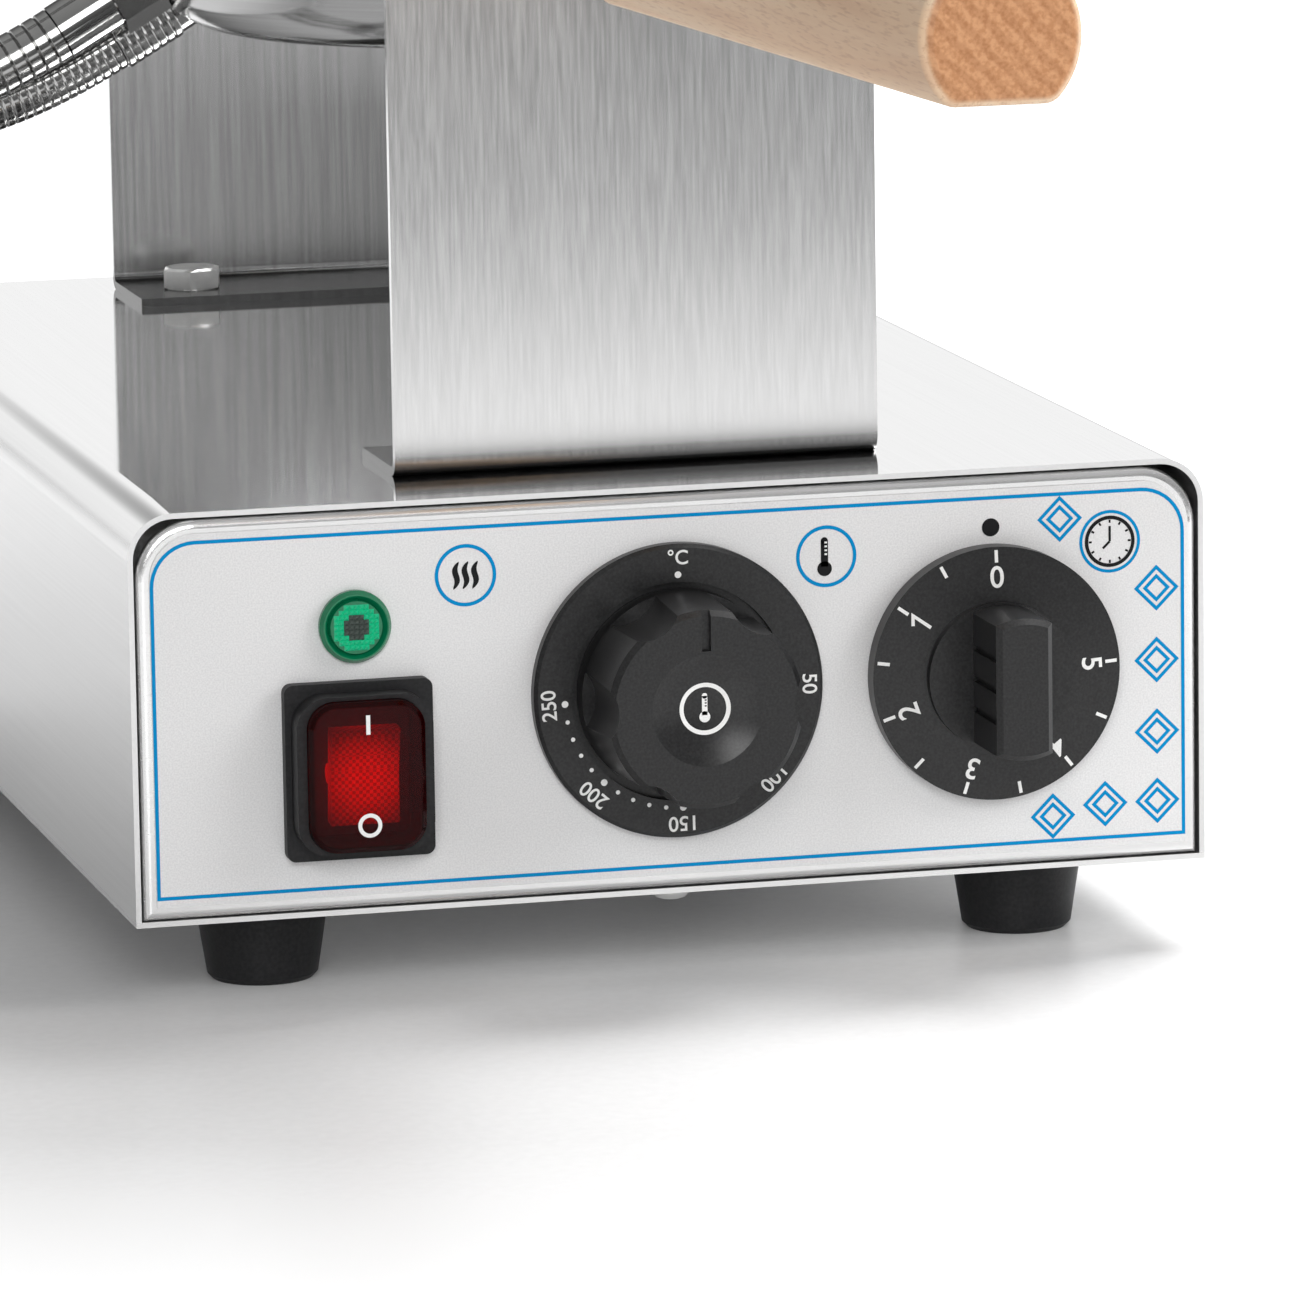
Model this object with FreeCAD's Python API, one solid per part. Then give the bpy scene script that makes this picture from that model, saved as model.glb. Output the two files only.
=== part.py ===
import FreeCAD, Part
import math
import os

# Waffle cone maker: two round baking plates close face to face between two uprights
# on a sheet-metal control box. The closed pan turns over about an axis along Y, and
# its upper half opens about a pin at the back. Millimetres, +Z up, front towards -Y.
# The origin is on the table, under the middle of the object's length and width.

V = FreeCAD.Vector

# Control box
BASE_WIDTH = 240.0
BASE_HEIGHT = 88.5
HOUSING_SHEET = 1.2
HOUSING_CORNER = 10.0
HEM_WIDTH = 13.0
PANEL_SHEET = 1.2
PANEL_CORNER = 13.0
PANEL_BEND = 2.0
PANEL_FLANGE = 14.0
PANEL_GAP = 0.4
OVERLAY_THICKNESS = 0.4
OVERLAY_MARGIN = 3.0
BOTTOM_SHEET = 1.2
VENT_COUNT = 7
VENT_PITCH = 9.0
VENT_WIDTH = 3.6
VENT_HEIGHT = 26.0
VENT_Z = 52.0

# Feet
FOOT_HEIGHT = 19.0
FOOT_TOP_RADIUS = 15.0
FOOT_BOTTOM_RADIUS = 12.2
FOOT_CHAMFER = 1.2
FOOT_SIDE_INSET = 34.0
FOOT_INSET = 32.0

# Uprights and their bolts
UPRIGHT_WIDTH = 109.0
UPRIGHT_SHEET = 2.0
UPRIGHT_BEND = 4.0
UPRIGHT_TOP_CORNER = 10.0
FRONT_UPRIGHT_DEPTH = 30.0
FRONT_FLANGE = 33.0
FRONT_UPRIGHT_OVER_AXIS = 12.0
REAR_UPRIGHT_INSET = 20.0
REAR_FLANGE = 37.0
REAR_UPRIGHT_OVER_AXIS = 19.0
BOLT_X = 38.5
BOLT_ACROSS_FLATS = 13.0
BOLT_HEAD_HEIGHT = 5.3
BOLT_RADIUS = 4.0
BOLT_NUT_HEIGHT = 6.5
BOLT_TAIL = 2.0
HOLE_CLEARANCE = 0.1
SEAT_CLEARANCE = 0.03

# Flip axis, rear bearing and shaft
AXIS_RISE = 138.0
SHAFT_RADIUS = 10.0
SHAFT_BORE_RADIUS = 6.0
RUNNING_CLEARANCE = 0.05
BUSH_RADIUS = 14.0
BUSH_FLANGE_RADIUS = 18.0
BUSH_FLANGE = 3.0
BUSH_TAIL = 6.0
SHAFT_NUT_RADIUS = 15.0
SHAFT_NUT_LENGTH = 7.0
SHAFT_END_PLAY = 0.4
SHAFT_TAIL = 3.0
GROMMET_WALL = 2.0
GROMMET_LIP = 2.5

# Pan: plates, domes and heaters
BOSS_GAP = 32.8
PLATE_RADIUS = 97.0
PLATE_THICKNESS = 13.0
PLATE_FACE_GAP = 2.4
LIP_WIDTH = 5.0
HALVES_GAP = 0.3
GRID_PITCH = 17.0
GRID_GROOVE = 3.4
GRID_DEPTH = 1.8
DOME_HEIGHT = 57.0
DOME_FLAT_RADIUS = 54.0
DOME_CORNER = 22.0
DOME_SLOPE = 60.0
DOME_SHEET = 1.2
DOME_FLANGE_MARGIN = 2.0
HEATER_RADIUS = 62.0
HEATER_WIDTH = 9.0
HEATER_HEIGHT = 7.0
HEATER_OPENING = 30.0

# Hinge of the upper half, and the yoke on the shaft
HINGE_BEHIND_PLATE = 25.0
PIN_RADIUS = 4.0
PIN_OVERHANG = 2.0
KNUCKLE_RADIUS = 9.0
KNUCKLE_HALF_WIDTH = 26.0
KNUCKLE_SIDE_GAP = 0.6
TAB_BEHIND_PLATE = 12.0
TAB_OVERLAP = 12.0
ARM_THICKNESS = 10.0
ARM_DROP = 11.0
YOKE_BACK_BEHIND_HINGE = 18.0
YOKE_BACK_THICKNESS = 7.0
YOKE_BACK_OVER_AXIS = 12.0
YOKE_TO_BUSH = 8.0

# Split journal in the front upright
JOURNAL_RADIUS = 30.0
JOURNAL_CLEARANCE = 0.4
COLLAR_RADIUS = 35.0
COLLAR_THICKNESS = 5.0
GROOVE_PLAY = 1.2

# Handles
GRIP_REACH = 254.0
GRIP_INNER_DEPTH = 8.0
GRIP_WIDTH = 32.0
GRIP_HEIGHT = 26.0
GRIP_FLAT = 20.7
GRIP_EDGE = 4.0
GRIP_END_EDGE = 2.5
GRIP_TIP_OFFSET = 14.5
GRIP_DROP = 6.9
ROD_RADIUS = 6.0
ROD_IN_GRIP = 70.0
FERRULE_RADIUS = 12.5
FERRULE_NECK_RADIUS = 8.5
FERRULE_LENGTH = 11.0
BOSS_HALF_WIDTH = 13.0
BOSS_LENGTH = 22.0
BOSS_DROP = 18.0
ROD_IN_BOSS = 18.0

# Hoses, their glands and ferrules
HOSE_RADIUS = 6.4
HOSE_VALLEY_RADIUS = 5.6
HOSE_BORE_RADIUS = 4.4
HOSE_RIB_PITCH = 16.0
HOSE_RIB_SHARE = 0.55
HOSE_RIB_SLOPE = 1.0
GLAND_ANGLE = 30.0
GLAND_ONE_DROP = 43.0
GLAND_NUT_FLATS = 16.0
GLAND_NUT_LENGTH = 11.0
HOSE_FERRULE_RADIUS = 6.7
HOSE_FERRULE_LENGTH = 14.0
GLAND_TWO_DROP = 52.0
GLAND_TWO_BEHIND = 20.0
GLAND_TWO_LENGTH = 17.0
# The lower half of each route, as X and Z from the lower ferrule's end; the upper half is its mirror.
HOSE_ONE_ROUTE = [(0.0, 0.0), (-20.8, -12.0), (-50.3, -17.2), (-87.0, -7.4), (-113.9, 19.5)]
HOSE_ONE_BULGE = 123.4
HOSE_TWO_ROUTE = [(0.0, 0.0), (-20.8, -12.0), (-52.3, -17.6), (-90.9, -7.3), (-119.2, 21.0)]
HOSE_TWO_BULGE = 129.5
ROUTE_ARC_SHARE = 0.45
ROUTE_STEP = 0.5

# Controls on the front panel, as X from the middle and Z above the box's bottom
CONTROL_INSET = 49.0
LAMP_Z = 62.0
LAMP_RADIUS = 7.9
LAMP_FIELD_RADIUS = 5.7
LAMP_HEIGHT = 2.4
LAMP_BARREL_RADIUS = 5.0
LAMP_BARREL_LENGTH = 20.0
LAMP_NUT_RADIUS = 8.0
LAMP_NUT_HEIGHT = 4.0
SWITCH_Z = 31.0
SWITCH_WIDTH = 32.6
SWITCH_HEIGHT = 38.6
SWITCH_FLANGE = 3.0
COLLAR_WIDTH = 30.0
COLLAR_HEIGHT = 34.6
COLLAR_CORNER = 7.0
COLLAR_OUT = 9.0
WINDOW_WIDTH = 25.4
WINDOW_HEIGHT = 32.6
WINDOW_CORNER = 6.0
WINDOW_SEAT = 2.0
WINDOW_OUT = 12.0
WINDOW_WALL = 1.2
WINDOW_EDGE = 1.0
WINDOW_PLAY = 0.1
ROCKER_WIDTH = 15.0
ROCKER_HALF_LENGTH = 10.5
ROCKER_PIVOT_OUT = 4.0
ROCKER_HUB_RADIUS = 2.2
ROCKER_OUT = 8.6
ROCKER_DISH = 1.2
ROCKER_WING = 0.8
ROCKER_TILT = 6.0
SWITCH_NECK_WIDTH = 22.0
SWITCH_NECK_HEIGHT = 28.0
SWITCH_NECK_OUT = 1.5
SWITCH_BODY_LENGTH = 30.0
SWITCH_PLAY = 0.2
THERMOSTAT_X = 0.0
THERMOSTAT_Z = 44.0
DIAL_RADIUS = 32.3
DIAL_OPENING_RADIUS = 24.0
DIAL_THICKNESS = 3.2
DIAL_FLOOR = 1.0
DIAL_CHAMFER = 0.8
KNOB_RADIUS = 22.4
KNOB_TOP_RADIUS = 21.6
KNOB_OUT = 27.0
KNOB_UNDER_GAP = 0.5
KNOB_SKIRT = 6.0
KNOB_EDGE = 1.2
FLUTE_COUNT = 6
FLUTE_RADIUS = 9.0
FLUTE_DEPTH = 3.0
DISH_RADIUS = 12.2
DISH_DEPTH = 2.6
INDEX_WIDTH = 2.0
INDEX_DEPTH = 1.4
THERMOSTAT_BODY_RADIUS = 20.0
THERMOSTAT_BODY_LENGTH = 28.0
TIMER_Z = 44.0
SKIRT_RADIUS = 28.0
SKIRT_OUT = 5.0
SKIRT_RISE = 1.2
SKIRT_UNDER_GAP = 0.6
HUB_RADIUS = 16.2
HUB_OUT = 8.4
BAR_WIDTH = 12.6
BAR_RADIUS = 15.6
BAR_OUT = 27.0
BAR_EDGE = 1.2
BAR_GROOVES = 3
BAR_GROOVE_PITCH = 6.8
BAR_GROOVE_WIDTH = 1.4
BAR_GROOVE_DEPTH = 0.9
TIMER_BODY_WIDTH = 46.0
TIMER_BODY_LENGTH = 40.0
SPINDLE_RADIUS = 3.0
SPINDLE_IN_KNOB = 10.0
SPINDLE_IN_BODY = 12.0
SPINDLE_CLEARANCE = 0.3

# Rear glands and the terminal block
GLAND_REACH = 14.0
INLET_SIDE_INSET = 48.0
INLET_Z = 26.0
PAN_CABLE_X = 0.0
PAN_CABLE_Z = 66.0
INLET_FLANGE_RADIUS = 11.0
INLET_FLANGE_LENGTH = 6.0
INLET_NOSE_RADIUS = 8.0
INLET_BORE_RADIUS = 4.0
INLET_SHANK_RADIUS = 7.5
INLET_SHANK_LENGTH = 9.0
TERMINAL_LENGTH = 64.0
TERMINAL_DEPTH = 22.0
TERMINAL_HEIGHT = 17.0
TERMINAL_WAYS = 6
TERMINAL_WAY_WIDTH = 5.2
TERMINAL_WAY_DEPTH = 5.0
TERMINAL_BEHIND_PANEL = 250.0

# Places and sizes that follow from the sizes above
PAN_FRONT_REACH = PLATE_RADIUS + BOSS_LENGTH + BOSS_GAP
JOURNAL_BACK = FRONT_UPRIGHT_DEPTH + UPRIGHT_SHEET + GROOVE_PLAY + COLLAR_THICKNESS
PAN_DEPTH = JOURNAL_BACK + PAN_FRONT_REACH
HINGE_BEHIND_PAN = PLATE_RADIUS + HINGE_BEHIND_PLATE
TAB_BEHIND_PAN = PLATE_RADIUS + TAB_BEHIND_PLATE
YOKE_REACH = HINGE_BEHIND_PAN + YOKE_BACK_BEHIND_HINGE + YOKE_BACK_THICKNESS
REAR_UPRIGHT_DEPTH = PAN_DEPTH + YOKE_REACH + YOKE_TO_BUSH + BUSH_FLANGE + UPRIGHT_SHEET
BASE_DEPTH = REAR_UPRIGHT_DEPTH + REAR_UPRIGHT_INSET
GRIP_LENGTH = GRIP_REACH + GRIP_INNER_DEPTH
FOOT_X = BASE_WIDTH / 2 - FOOT_SIDE_INSET
LAMP_X = CONTROL_INSET - BASE_WIDTH / 2
SWITCH_X = LAMP_X
TIMER_X = BASE_WIDTH / 2 - CONTROL_INSET
INLET_X = BASE_WIDTH / 2 - INLET_SIDE_INSET
PANEL_Y = (GRIP_REACH - BASE_DEPTH - GLAND_REACH) / 2
BASE_BOTTOM = FOOT_HEIGHT + BOTTOM_SHEET
BASE_TOP = BASE_BOTTOM + BASE_HEIGHT
AXIS_Z = BASE_TOP + AXIS_RISE
PAN_Y = PANEL_Y + PAN_DEPTH
REAR_Y = PANEL_Y + BASE_DEPTH
FACE_Y = PANEL_Y - OVERLAY_THICKNESS
FRONT_UPRIGHT_Y = PANEL_Y + FRONT_UPRIGHT_DEPTH
REAR_UPRIGHT_Y = PANEL_Y + REAR_UPRIGHT_DEPTH
HINGE_Y = PAN_Y + HINGE_BEHIND_PAN
YOKE_BACK_Y = HINGE_Y + YOKE_BACK_BEHIND_HINGE
PLATE_UNDER = PLATE_FACE_GAP / 2 + PLATE_THICKNESS
KNOB_UNDER = DIAL_FLOOR + KNOB_UNDER_GAP
PANEL_WIDTH = BASE_WIDTH - 2 * (HOUSING_SHEET + PANEL_GAP)
PANEL_TOP = BASE_TOP - HOUSING_SHEET - PANEL_GAP
PAST = 1.0


# Shapes that several pieces use
def block(x0, x1, y0, y1, z0, z1):
    return Part.makeBox(x1 - x0, y1 - y0, z1 - z0, V(x0, y0, z0))


def rod(radius, start, end):
    along = end - start
    return Part.makeCylinder(radius, along.Length, start, along)


def tube(outer, inner, start, end):
    return rod(outer, start, end).cut(rod(inner, start, end))


def joined(shapes):
    whole = shapes[0]
    for shape in shapes[1:]:
        whole = whole.fuse(shape)
    return whole.removeSplitter()


def without(shape, tools):
    for tool in tools:
        shape = shape.cut(tool)
    return shape


def polygon_face(points):
    return Part.Face(Part.makePolygon(points + [points[0]]))


def turned(profile, centre, axis, radial):
    """A solid turned about an axis from points given as radius and distance along the axis."""
    points = [centre + radial * r + axis * along for r, along in profile]
    return polygon_face(points).revolve(centre, axis, 360)


def on_panel(profile, x, z):
    """A solid turned about a line square to the front panel; distances run towards the user."""
    return turned(profile, V(x, FACE_Y, BASE_BOTTOM + z), V(0, -1, 0), V(1, 0, 0))


def hexagon(flats, start, end):
    """A hexagonal prism between two points."""
    along = (end - start).normalize()
    side = along.cross(V(0, 1, 0) if abs(along.y) < 0.9 else V(1, 0, 0)).normalize()
    other = along.cross(side)
    corner = flats / math.sqrt(3)
    turns = [math.radians(60 * i) for i in range(6)]
    points = [start + side * (corner * math.cos(a)) + other * (corner * math.sin(a)) for a in turns]
    return polygon_face(points).extrude(end - start)


def arch(width, bottom, top, corner, y):
    """An upright face with square lower corners and round upper ones."""
    half = width / 2
    diagonal = corner * (1 - math.sqrt(0.5))
    edges = [
        Part.LineSegment(V(-half, y, bottom), V(-half, y, top - corner)),
        Part.Arc(
            V(-half, y, top - corner), V(-half + diagonal, y, top - diagonal), V(-half + corner, y, top)
        ),
        Part.LineSegment(V(-half + corner, y, top), V(half - corner, y, top)),
        Part.Arc(V(half - corner, y, top), V(half - diagonal, y, top - diagonal), V(half, y, top - corner)),
        Part.LineSegment(V(half, y, top - corner), V(half, y, bottom)),
        Part.LineSegment(V(half, y, bottom), V(-half, y, bottom)),
    ]
    return Part.Face(Part.Wire([edge.toShape() for edge in edges]))


def rounded_block(width, height, corner, x, z, out0, out1):
    """A block standing off the panel, with its four long edges round."""
    y0 = FACE_Y - out1
    z0 = BASE_BOTTOM + z - height / 2
    body = block(x - width / 2, x + width / 2, y0, FACE_Y - out0, z0, z0 + height)
    long_edges = [edge for edge in body.Edges if abs(edge.Vertexes[0].Y - edge.Vertexes[1].Y) > PAST / 2]
    return body.makeFillet(corner, long_edges)


def mirrored_over_axis(shape):
    """The same piece on the upper half of the pan."""
    return shape.mirror(V(0, 0, AXIS_Z), V(0, 0, 1))


def edges_at_y(shape, y):
    """The edges that lie in the plane at y."""
    near = 0.001
    return [e for e in shape.Edges if abs(e.BoundBox.YMin - y) < near and abs(e.BoundBox.YMax - y) < near]


# Places that several pieces share
def foot_places():
    front = PANEL_Y + FOOT_INSET
    back = REAR_Y - FOOT_INSET
    return [V(x, y, 0) for x in (-FOOT_X, FOOT_X) for y in (front, back)]


def bolt_places():
    front = FRONT_UPRIGHT_Y + (FRONT_FLANGE + UPRIGHT_BEND) / 2
    back = REAR_UPRIGHT_Y - (REAR_FLANGE + UPRIGHT_BEND) / 2
    return [V(x, y, BASE_TOP) for x in (-BOLT_X, BOLT_X) for y in (front, back)]


def bolt_holes(z0, z1):
    radius = BOLT_RADIUS + HOLE_CLEARANCE
    return [rod(radius, V(p.x, p.y, z0), V(p.x, p.y, z1)) for p in bolt_places()]


def panel_holes(y0, y1):
    """Holes for the lamp, the switch and the two spindles, between two depths."""
    spindle = SPINDLE_RADIUS + SPINDLE_CLEARANCE
    round_holes = [
        (LAMP_X, LAMP_Z, LAMP_BARREL_RADIUS + SWITCH_PLAY),
        (THERMOSTAT_X, THERMOSTAT_Z, spindle),
        (TIMER_X, TIMER_Z, spindle),
    ]
    holes = [rod(r, V(x, y0, BASE_BOTTOM + z), V(x, y1, BASE_BOTTOM + z)) for x, z, r in round_holes]
    half_width = SWITCH_NECK_WIDTH / 2 + SWITCH_PLAY
    half_height = SWITCH_NECK_HEIGHT / 2 + SWITCH_PLAY
    z0 = BASE_BOTTOM + SWITCH_Z - half_height
    window = block(SWITCH_X - half_width, SWITCH_X + half_width, y0, y1, z0, z0 + 2 * half_height)
    return holes + [window]


# Control box
def housing_shell():
    outer = arch(BASE_WIDTH, BASE_BOTTOM, BASE_TOP, HOUSING_CORNER, PANEL_Y)
    inner_width = BASE_WIDTH - 2 * HOUSING_SHEET
    inner_corner = HOUSING_CORNER - HOUSING_SHEET
    inner = arch(inner_width, BASE_BOTTOM - PAST, BASE_TOP - HOUSING_SHEET, inner_corner, PANEL_Y)
    along = V(0, BASE_DEPTH, 0)
    wrap = outer.extrude(along).cut(inner.extrude(along))
    hem_start = PANEL_Y + PANEL_FLANGE + PAST
    hem_end = REAR_Y - PANEL_FLANGE - PAST
    hem_top = BASE_BOTTOM + HOUSING_SHEET
    half = BASE_WIDTH / 2
    hems = [
        block(-half, -half + HEM_WIDTH, hem_start, hem_end, BASE_BOTTOM, hem_top),
        block(half - HEM_WIDTH, half, hem_start, hem_end, BASE_BOTTOM, hem_top),
    ]
    shell = joined([wrap] + hems)
    return without(shell, bolt_holes(BASE_TOP - HOUSING_CORNER, BASE_TOP + PAST))


def folded_panel(face_y, inwards):
    """A panel with its edges bent inwards all round; inwards is +1 at the front and -1 at the back."""
    depth = V(0, inwards * PANEL_FLANGE, 0)
    outer = arch(PANEL_WIDTH, BASE_BOTTOM, PANEL_TOP, PANEL_CORNER, face_y).extrude(depth)
    outer = outer.makeFillet(PANEL_BEND, edges_at_y(outer, face_y))
    sheet = PANEL_SHEET
    width = PANEL_WIDTH - 2 * sheet
    back_y = face_y + inwards * sheet
    inner = arch(width, BASE_BOTTOM + sheet, PANEL_TOP - sheet, PANEL_CORNER - sheet, back_y)
    return outer.cut(inner.extrude(depth))


def front_panel():
    return without(folded_panel(PANEL_Y, 1), panel_holes(PANEL_Y - PAST, PANEL_Y + PANEL_BEND + PAST))


def panel_overlay():
    width = PANEL_WIDTH - 2 * OVERLAY_MARGIN
    corner = PANEL_CORNER - OVERLAY_MARGIN
    sheet = arch(width, BASE_BOTTOM + OVERLAY_MARGIN, PANEL_TOP - OVERLAY_MARGIN, corner, FACE_Y)
    return without(sheet.extrude(V(0, OVERLAY_THICKNESS, 0)), panel_holes(FACE_Y - PAST, PANEL_Y + PAST))


def vent_slot(x):
    z = BASE_BOTTOM + VENT_Z
    half = VENT_WIDTH / 2
    reach = VENT_HEIGHT / 2
    return block(x - half, x + half, REAR_Y - PANEL_BEND - PAST, REAR_Y + PAST, z - reach, z + reach)


def rear_gland_places():
    return [(INLET_X, INLET_Z), (PAN_CABLE_X, PAN_CABLE_Z)]


def rear_panel():
    """The back cover, with vents on its left half and holes for the two glands."""
    offsets = [(i - (VENT_COUNT - 1) / 2) * VENT_PITCH for i in range(VENT_COUNT)]
    middle = -BASE_WIDTH / 4
    slots = [vent_slot(middle + offset) for offset in offsets]
    y0 = REAR_Y - PANEL_FLANGE
    holes = [
        rod(INLET_SHANK_RADIUS, V(x, y0, BASE_BOTTOM + z), V(x, REAR_Y + PAST, BASE_BOTTOM + z))
        for x, z in rear_gland_places()
    ]
    return without(folded_panel(REAR_Y, -1), slots + holes)


def bottom_plate():
    half = BASE_WIDTH / 2
    return block(-half, half, PANEL_Y, REAR_Y, FOOT_HEIGHT, BASE_BOTTOM)


def rubber_feet():
    profile = [
        (0, 0), (FOOT_BOTTOM_RADIUS - FOOT_CHAMFER, 0), (FOOT_BOTTOM_RADIUS, FOOT_CHAMFER),
        (FOOT_TOP_RADIUS, FOOT_HEIGHT), (0, FOOT_HEIGHT),
    ]
    return Part.makeCompound([turned(profile, p, V(0, 0, 1), V(1, 0, 0)) for p in foot_places()])


# Uprights
def angle_plate(outer_y, towards, flange, top):
    """A bent plate with a flat foot; towards is the direction of the foot along Y."""
    bend = UPRIGHT_BEND
    inner_bend = bend - UPRIGHT_SHEET
    inner_y = outer_y + towards * UPRIGHT_SHEET
    centre = V(0, outer_y + towards * bend, BASE_TOP + bend)
    foot_y = outer_y + towards * flange
    x = -UPRIGHT_WIDTH / 2

    def bend_point(radius):
        return V(x, centre.y - towards * radius * math.sqrt(0.5), centre.z - radius * math.sqrt(0.5))

    corners = [
        V(x, outer_y, top), V(x, outer_y, centre.z), V(x, centre.y, BASE_TOP), V(x, foot_y, BASE_TOP),
        V(x, foot_y, BASE_TOP + UPRIGHT_SHEET), V(x, centre.y, BASE_TOP + UPRIGHT_SHEET),
        V(x, inner_y, centre.z), V(x, inner_y, top),
    ]
    edges = [
        Part.LineSegment(corners[0], corners[1]),
        Part.Arc(corners[1], bend_point(bend), corners[2]),
        Part.LineSegment(corners[2], corners[3]),
        Part.LineSegment(corners[3], corners[4]),
        Part.LineSegment(corners[4], corners[5]),
        Part.Arc(corners[5], bend_point(inner_bend), corners[6]),
        Part.LineSegment(corners[6], corners[7]),
        Part.LineSegment(corners[7], corners[0]),
    ]
    section = Part.Face(Part.Wire([edge.toShape() for edge in edges]))
    plate = section.extrude(V(UPRIGHT_WIDTH, 0, 0))
    at_top = [e for e in plate.Edges if abs(e.BoundBox.ZMin - top) < HOLE_CLEARANCE]
    near_side = UPRIGHT_WIDTH / 2 - HOLE_CLEARANCE
    upper_corners = [e for e in at_top if abs(e.CenterOfMass.x) > near_side]
    plate = plate.makeFillet(UPRIGHT_TOP_CORNER, upper_corners)
    return without(plate, bolt_holes(BASE_TOP - PAST, BASE_TOP + UPRIGHT_BEND))


def front_upright():
    """The front plate, with a notch open at the top for the split journal."""
    top = AXIS_Z + FRONT_UPRIGHT_OVER_AXIS
    plate = angle_plate(FRONT_UPRIGHT_Y, 1, FRONT_FLANGE, top)
    radius = JOURNAL_RADIUS + JOURNAL_CLEARANCE
    y0 = FRONT_UPRIGHT_Y - PAST
    y1 = FRONT_UPRIGHT_Y + UPRIGHT_SHEET + PAST
    seat = rod(radius, V(0, y0, AXIS_Z), V(0, y1, AXIS_Z))
    way_in = block(-radius, radius, y0, y1, AXIS_Z, top + PAST)
    return plate.cut(joined([seat, way_in]))


def rear_upright():
    plate = angle_plate(REAR_UPRIGHT_Y, -1, REAR_FLANGE, AXIS_Z + REAR_UPRIGHT_OVER_AXIS)
    front = V(0, REAR_UPRIGHT_Y - UPRIGHT_SHEET - PAST, AXIS_Z)
    back = V(0, REAR_UPRIGHT_Y + PAST, AXIS_Z)
    return plate.cut(rod(BUSH_RADIUS + SEAT_CLEARANCE, front, back))


def upright_bolt(place):
    seat = place + V(0, 0, UPRIGHT_SHEET)
    tail = place - V(0, 0, HOUSING_SHEET + BOLT_NUT_HEIGHT + BOLT_TAIL)
    head = hexagon(BOLT_ACROSS_FLATS, seat, seat + V(0, 0, BOLT_HEAD_HEIGHT))
    return joined([head, rod(BOLT_RADIUS, tail, seat)])


def upright_bolts():
    return Part.makeCompound([upright_bolt(p) for p in bolt_places()])


def upright_nuts():
    nuts = []
    for place in bolt_places():
        top = place - V(0, 0, HOUSING_SHEET)
        bottom = top - V(0, 0, BOLT_NUT_HEIGHT)
        nut = hexagon(BOLT_ACROSS_FLATS, bottom, top)
        nuts.append(nut.cut(rod(BOLT_RADIUS + HOLE_CLEARANCE, bottom, top)))
    return Part.makeCompound(nuts)


def bearing_bush():
    front = REAR_UPRIGHT_Y - UPRIGHT_SHEET - BUSH_FLANGE
    step = REAR_UPRIGHT_Y - UPRIGHT_SHEET
    back = REAR_UPRIGHT_Y + BUSH_TAIL
    flange = rod(BUSH_FLANGE_RADIUS, V(0, front, AXIS_Z), V(0, step, AXIS_Z))
    body = rod(BUSH_RADIUS, V(0, front, AXIS_Z), V(0, back, AXIS_Z))
    bore = rod(SHAFT_RADIUS + RUNNING_CLEARANCE, V(0, front, AXIS_Z), V(0, back, AXIS_Z))
    return joined([flange, body]).cut(bore)


# Controls
def lamp_lens():
    """The lens: a plain rim, a groove and a raised middle field."""
    groove = LAMP_HEIGHT / 2
    rim = LAMP_RADIUS - (LAMP_RADIUS - LAMP_FIELD_RADIUS) / 3
    return on_panel(
        [
            (0, 0), (LAMP_RADIUS, 0), (LAMP_RADIUS, groove), (rim, LAMP_HEIGHT),
            (rim - HALVES_GAP, LAMP_HEIGHT), (LAMP_FIELD_RADIUS + HALVES_GAP, groove),
            (LAMP_FIELD_RADIUS, LAMP_HEIGHT), (0, LAMP_HEIGHT),
        ],
        LAMP_X, LAMP_Z,
    )


def lamp_body():
    inside = OVERLAY_THICKNESS + PANEL_SHEET
    return on_panel(
        [
            (0, 0), (LAMP_BARREL_RADIUS, 0), (LAMP_BARREL_RADIUS, -inside), (LAMP_NUT_RADIUS, -inside),
            (LAMP_NUT_RADIUS, -inside - LAMP_NUT_HEIGHT), (LAMP_BARREL_RADIUS, -inside - LAMP_NUT_HEIGHT),
            (LAMP_BARREL_RADIUS, -LAMP_BARREL_LENGTH), (0, -LAMP_BARREL_LENGTH),
        ],
        LAMP_X, LAMP_Z,
    )


def switch_frame():
    """The black flange and its raised round-cornered collar, open for the window."""
    flange = rounded_block(SWITCH_WIDTH, SWITCH_HEIGHT, PANEL_BEND, SWITCH_X, SWITCH_Z, 0, SWITCH_FLANGE)
    collar = rounded_block(COLLAR_WIDTH, COLLAR_HEIGHT, COLLAR_CORNER, SWITCH_X, SWITCH_Z, 0, COLLAR_OUT)
    play = 2 * WINDOW_PLAY
    corner = WINDOW_CORNER + WINDOW_PLAY
    seat = rounded_block(
        WINDOW_WIDTH + play, WINDOW_HEIGHT + play, corner, SWITCH_X, SWITCH_Z,
        WINDOW_SEAT, COLLAR_OUT + PAST,
    )
    return without(joined([flange, collar]), [seat] + panel_holes(FACE_Y - COLLAR_OUT, FACE_Y + PAST)[-1:])


def switch_window():
    """The clear cover over the rocker, open at the back."""
    cover = rounded_block(
        WINDOW_WIDTH, WINDOW_HEIGHT, WINDOW_CORNER, SWITCH_X, SWITCH_Z, WINDOW_SEAT, WINDOW_OUT
    )
    cover = cover.makeChamfer(WINDOW_EDGE, edges_at_y(cover, FACE_Y - WINDOW_OUT))
    wall = 2 * WINDOW_WALL
    hollow = rounded_block(
        WINDOW_WIDTH - wall, WINDOW_HEIGHT - wall, WINDOW_CORNER - WINDOW_WALL, SWITCH_X, SWITCH_Z,
        WINDOW_SEAT - PAST, WINDOW_OUT - WINDOW_WALL,
    )
    return cover.cut(hollow)


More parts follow.
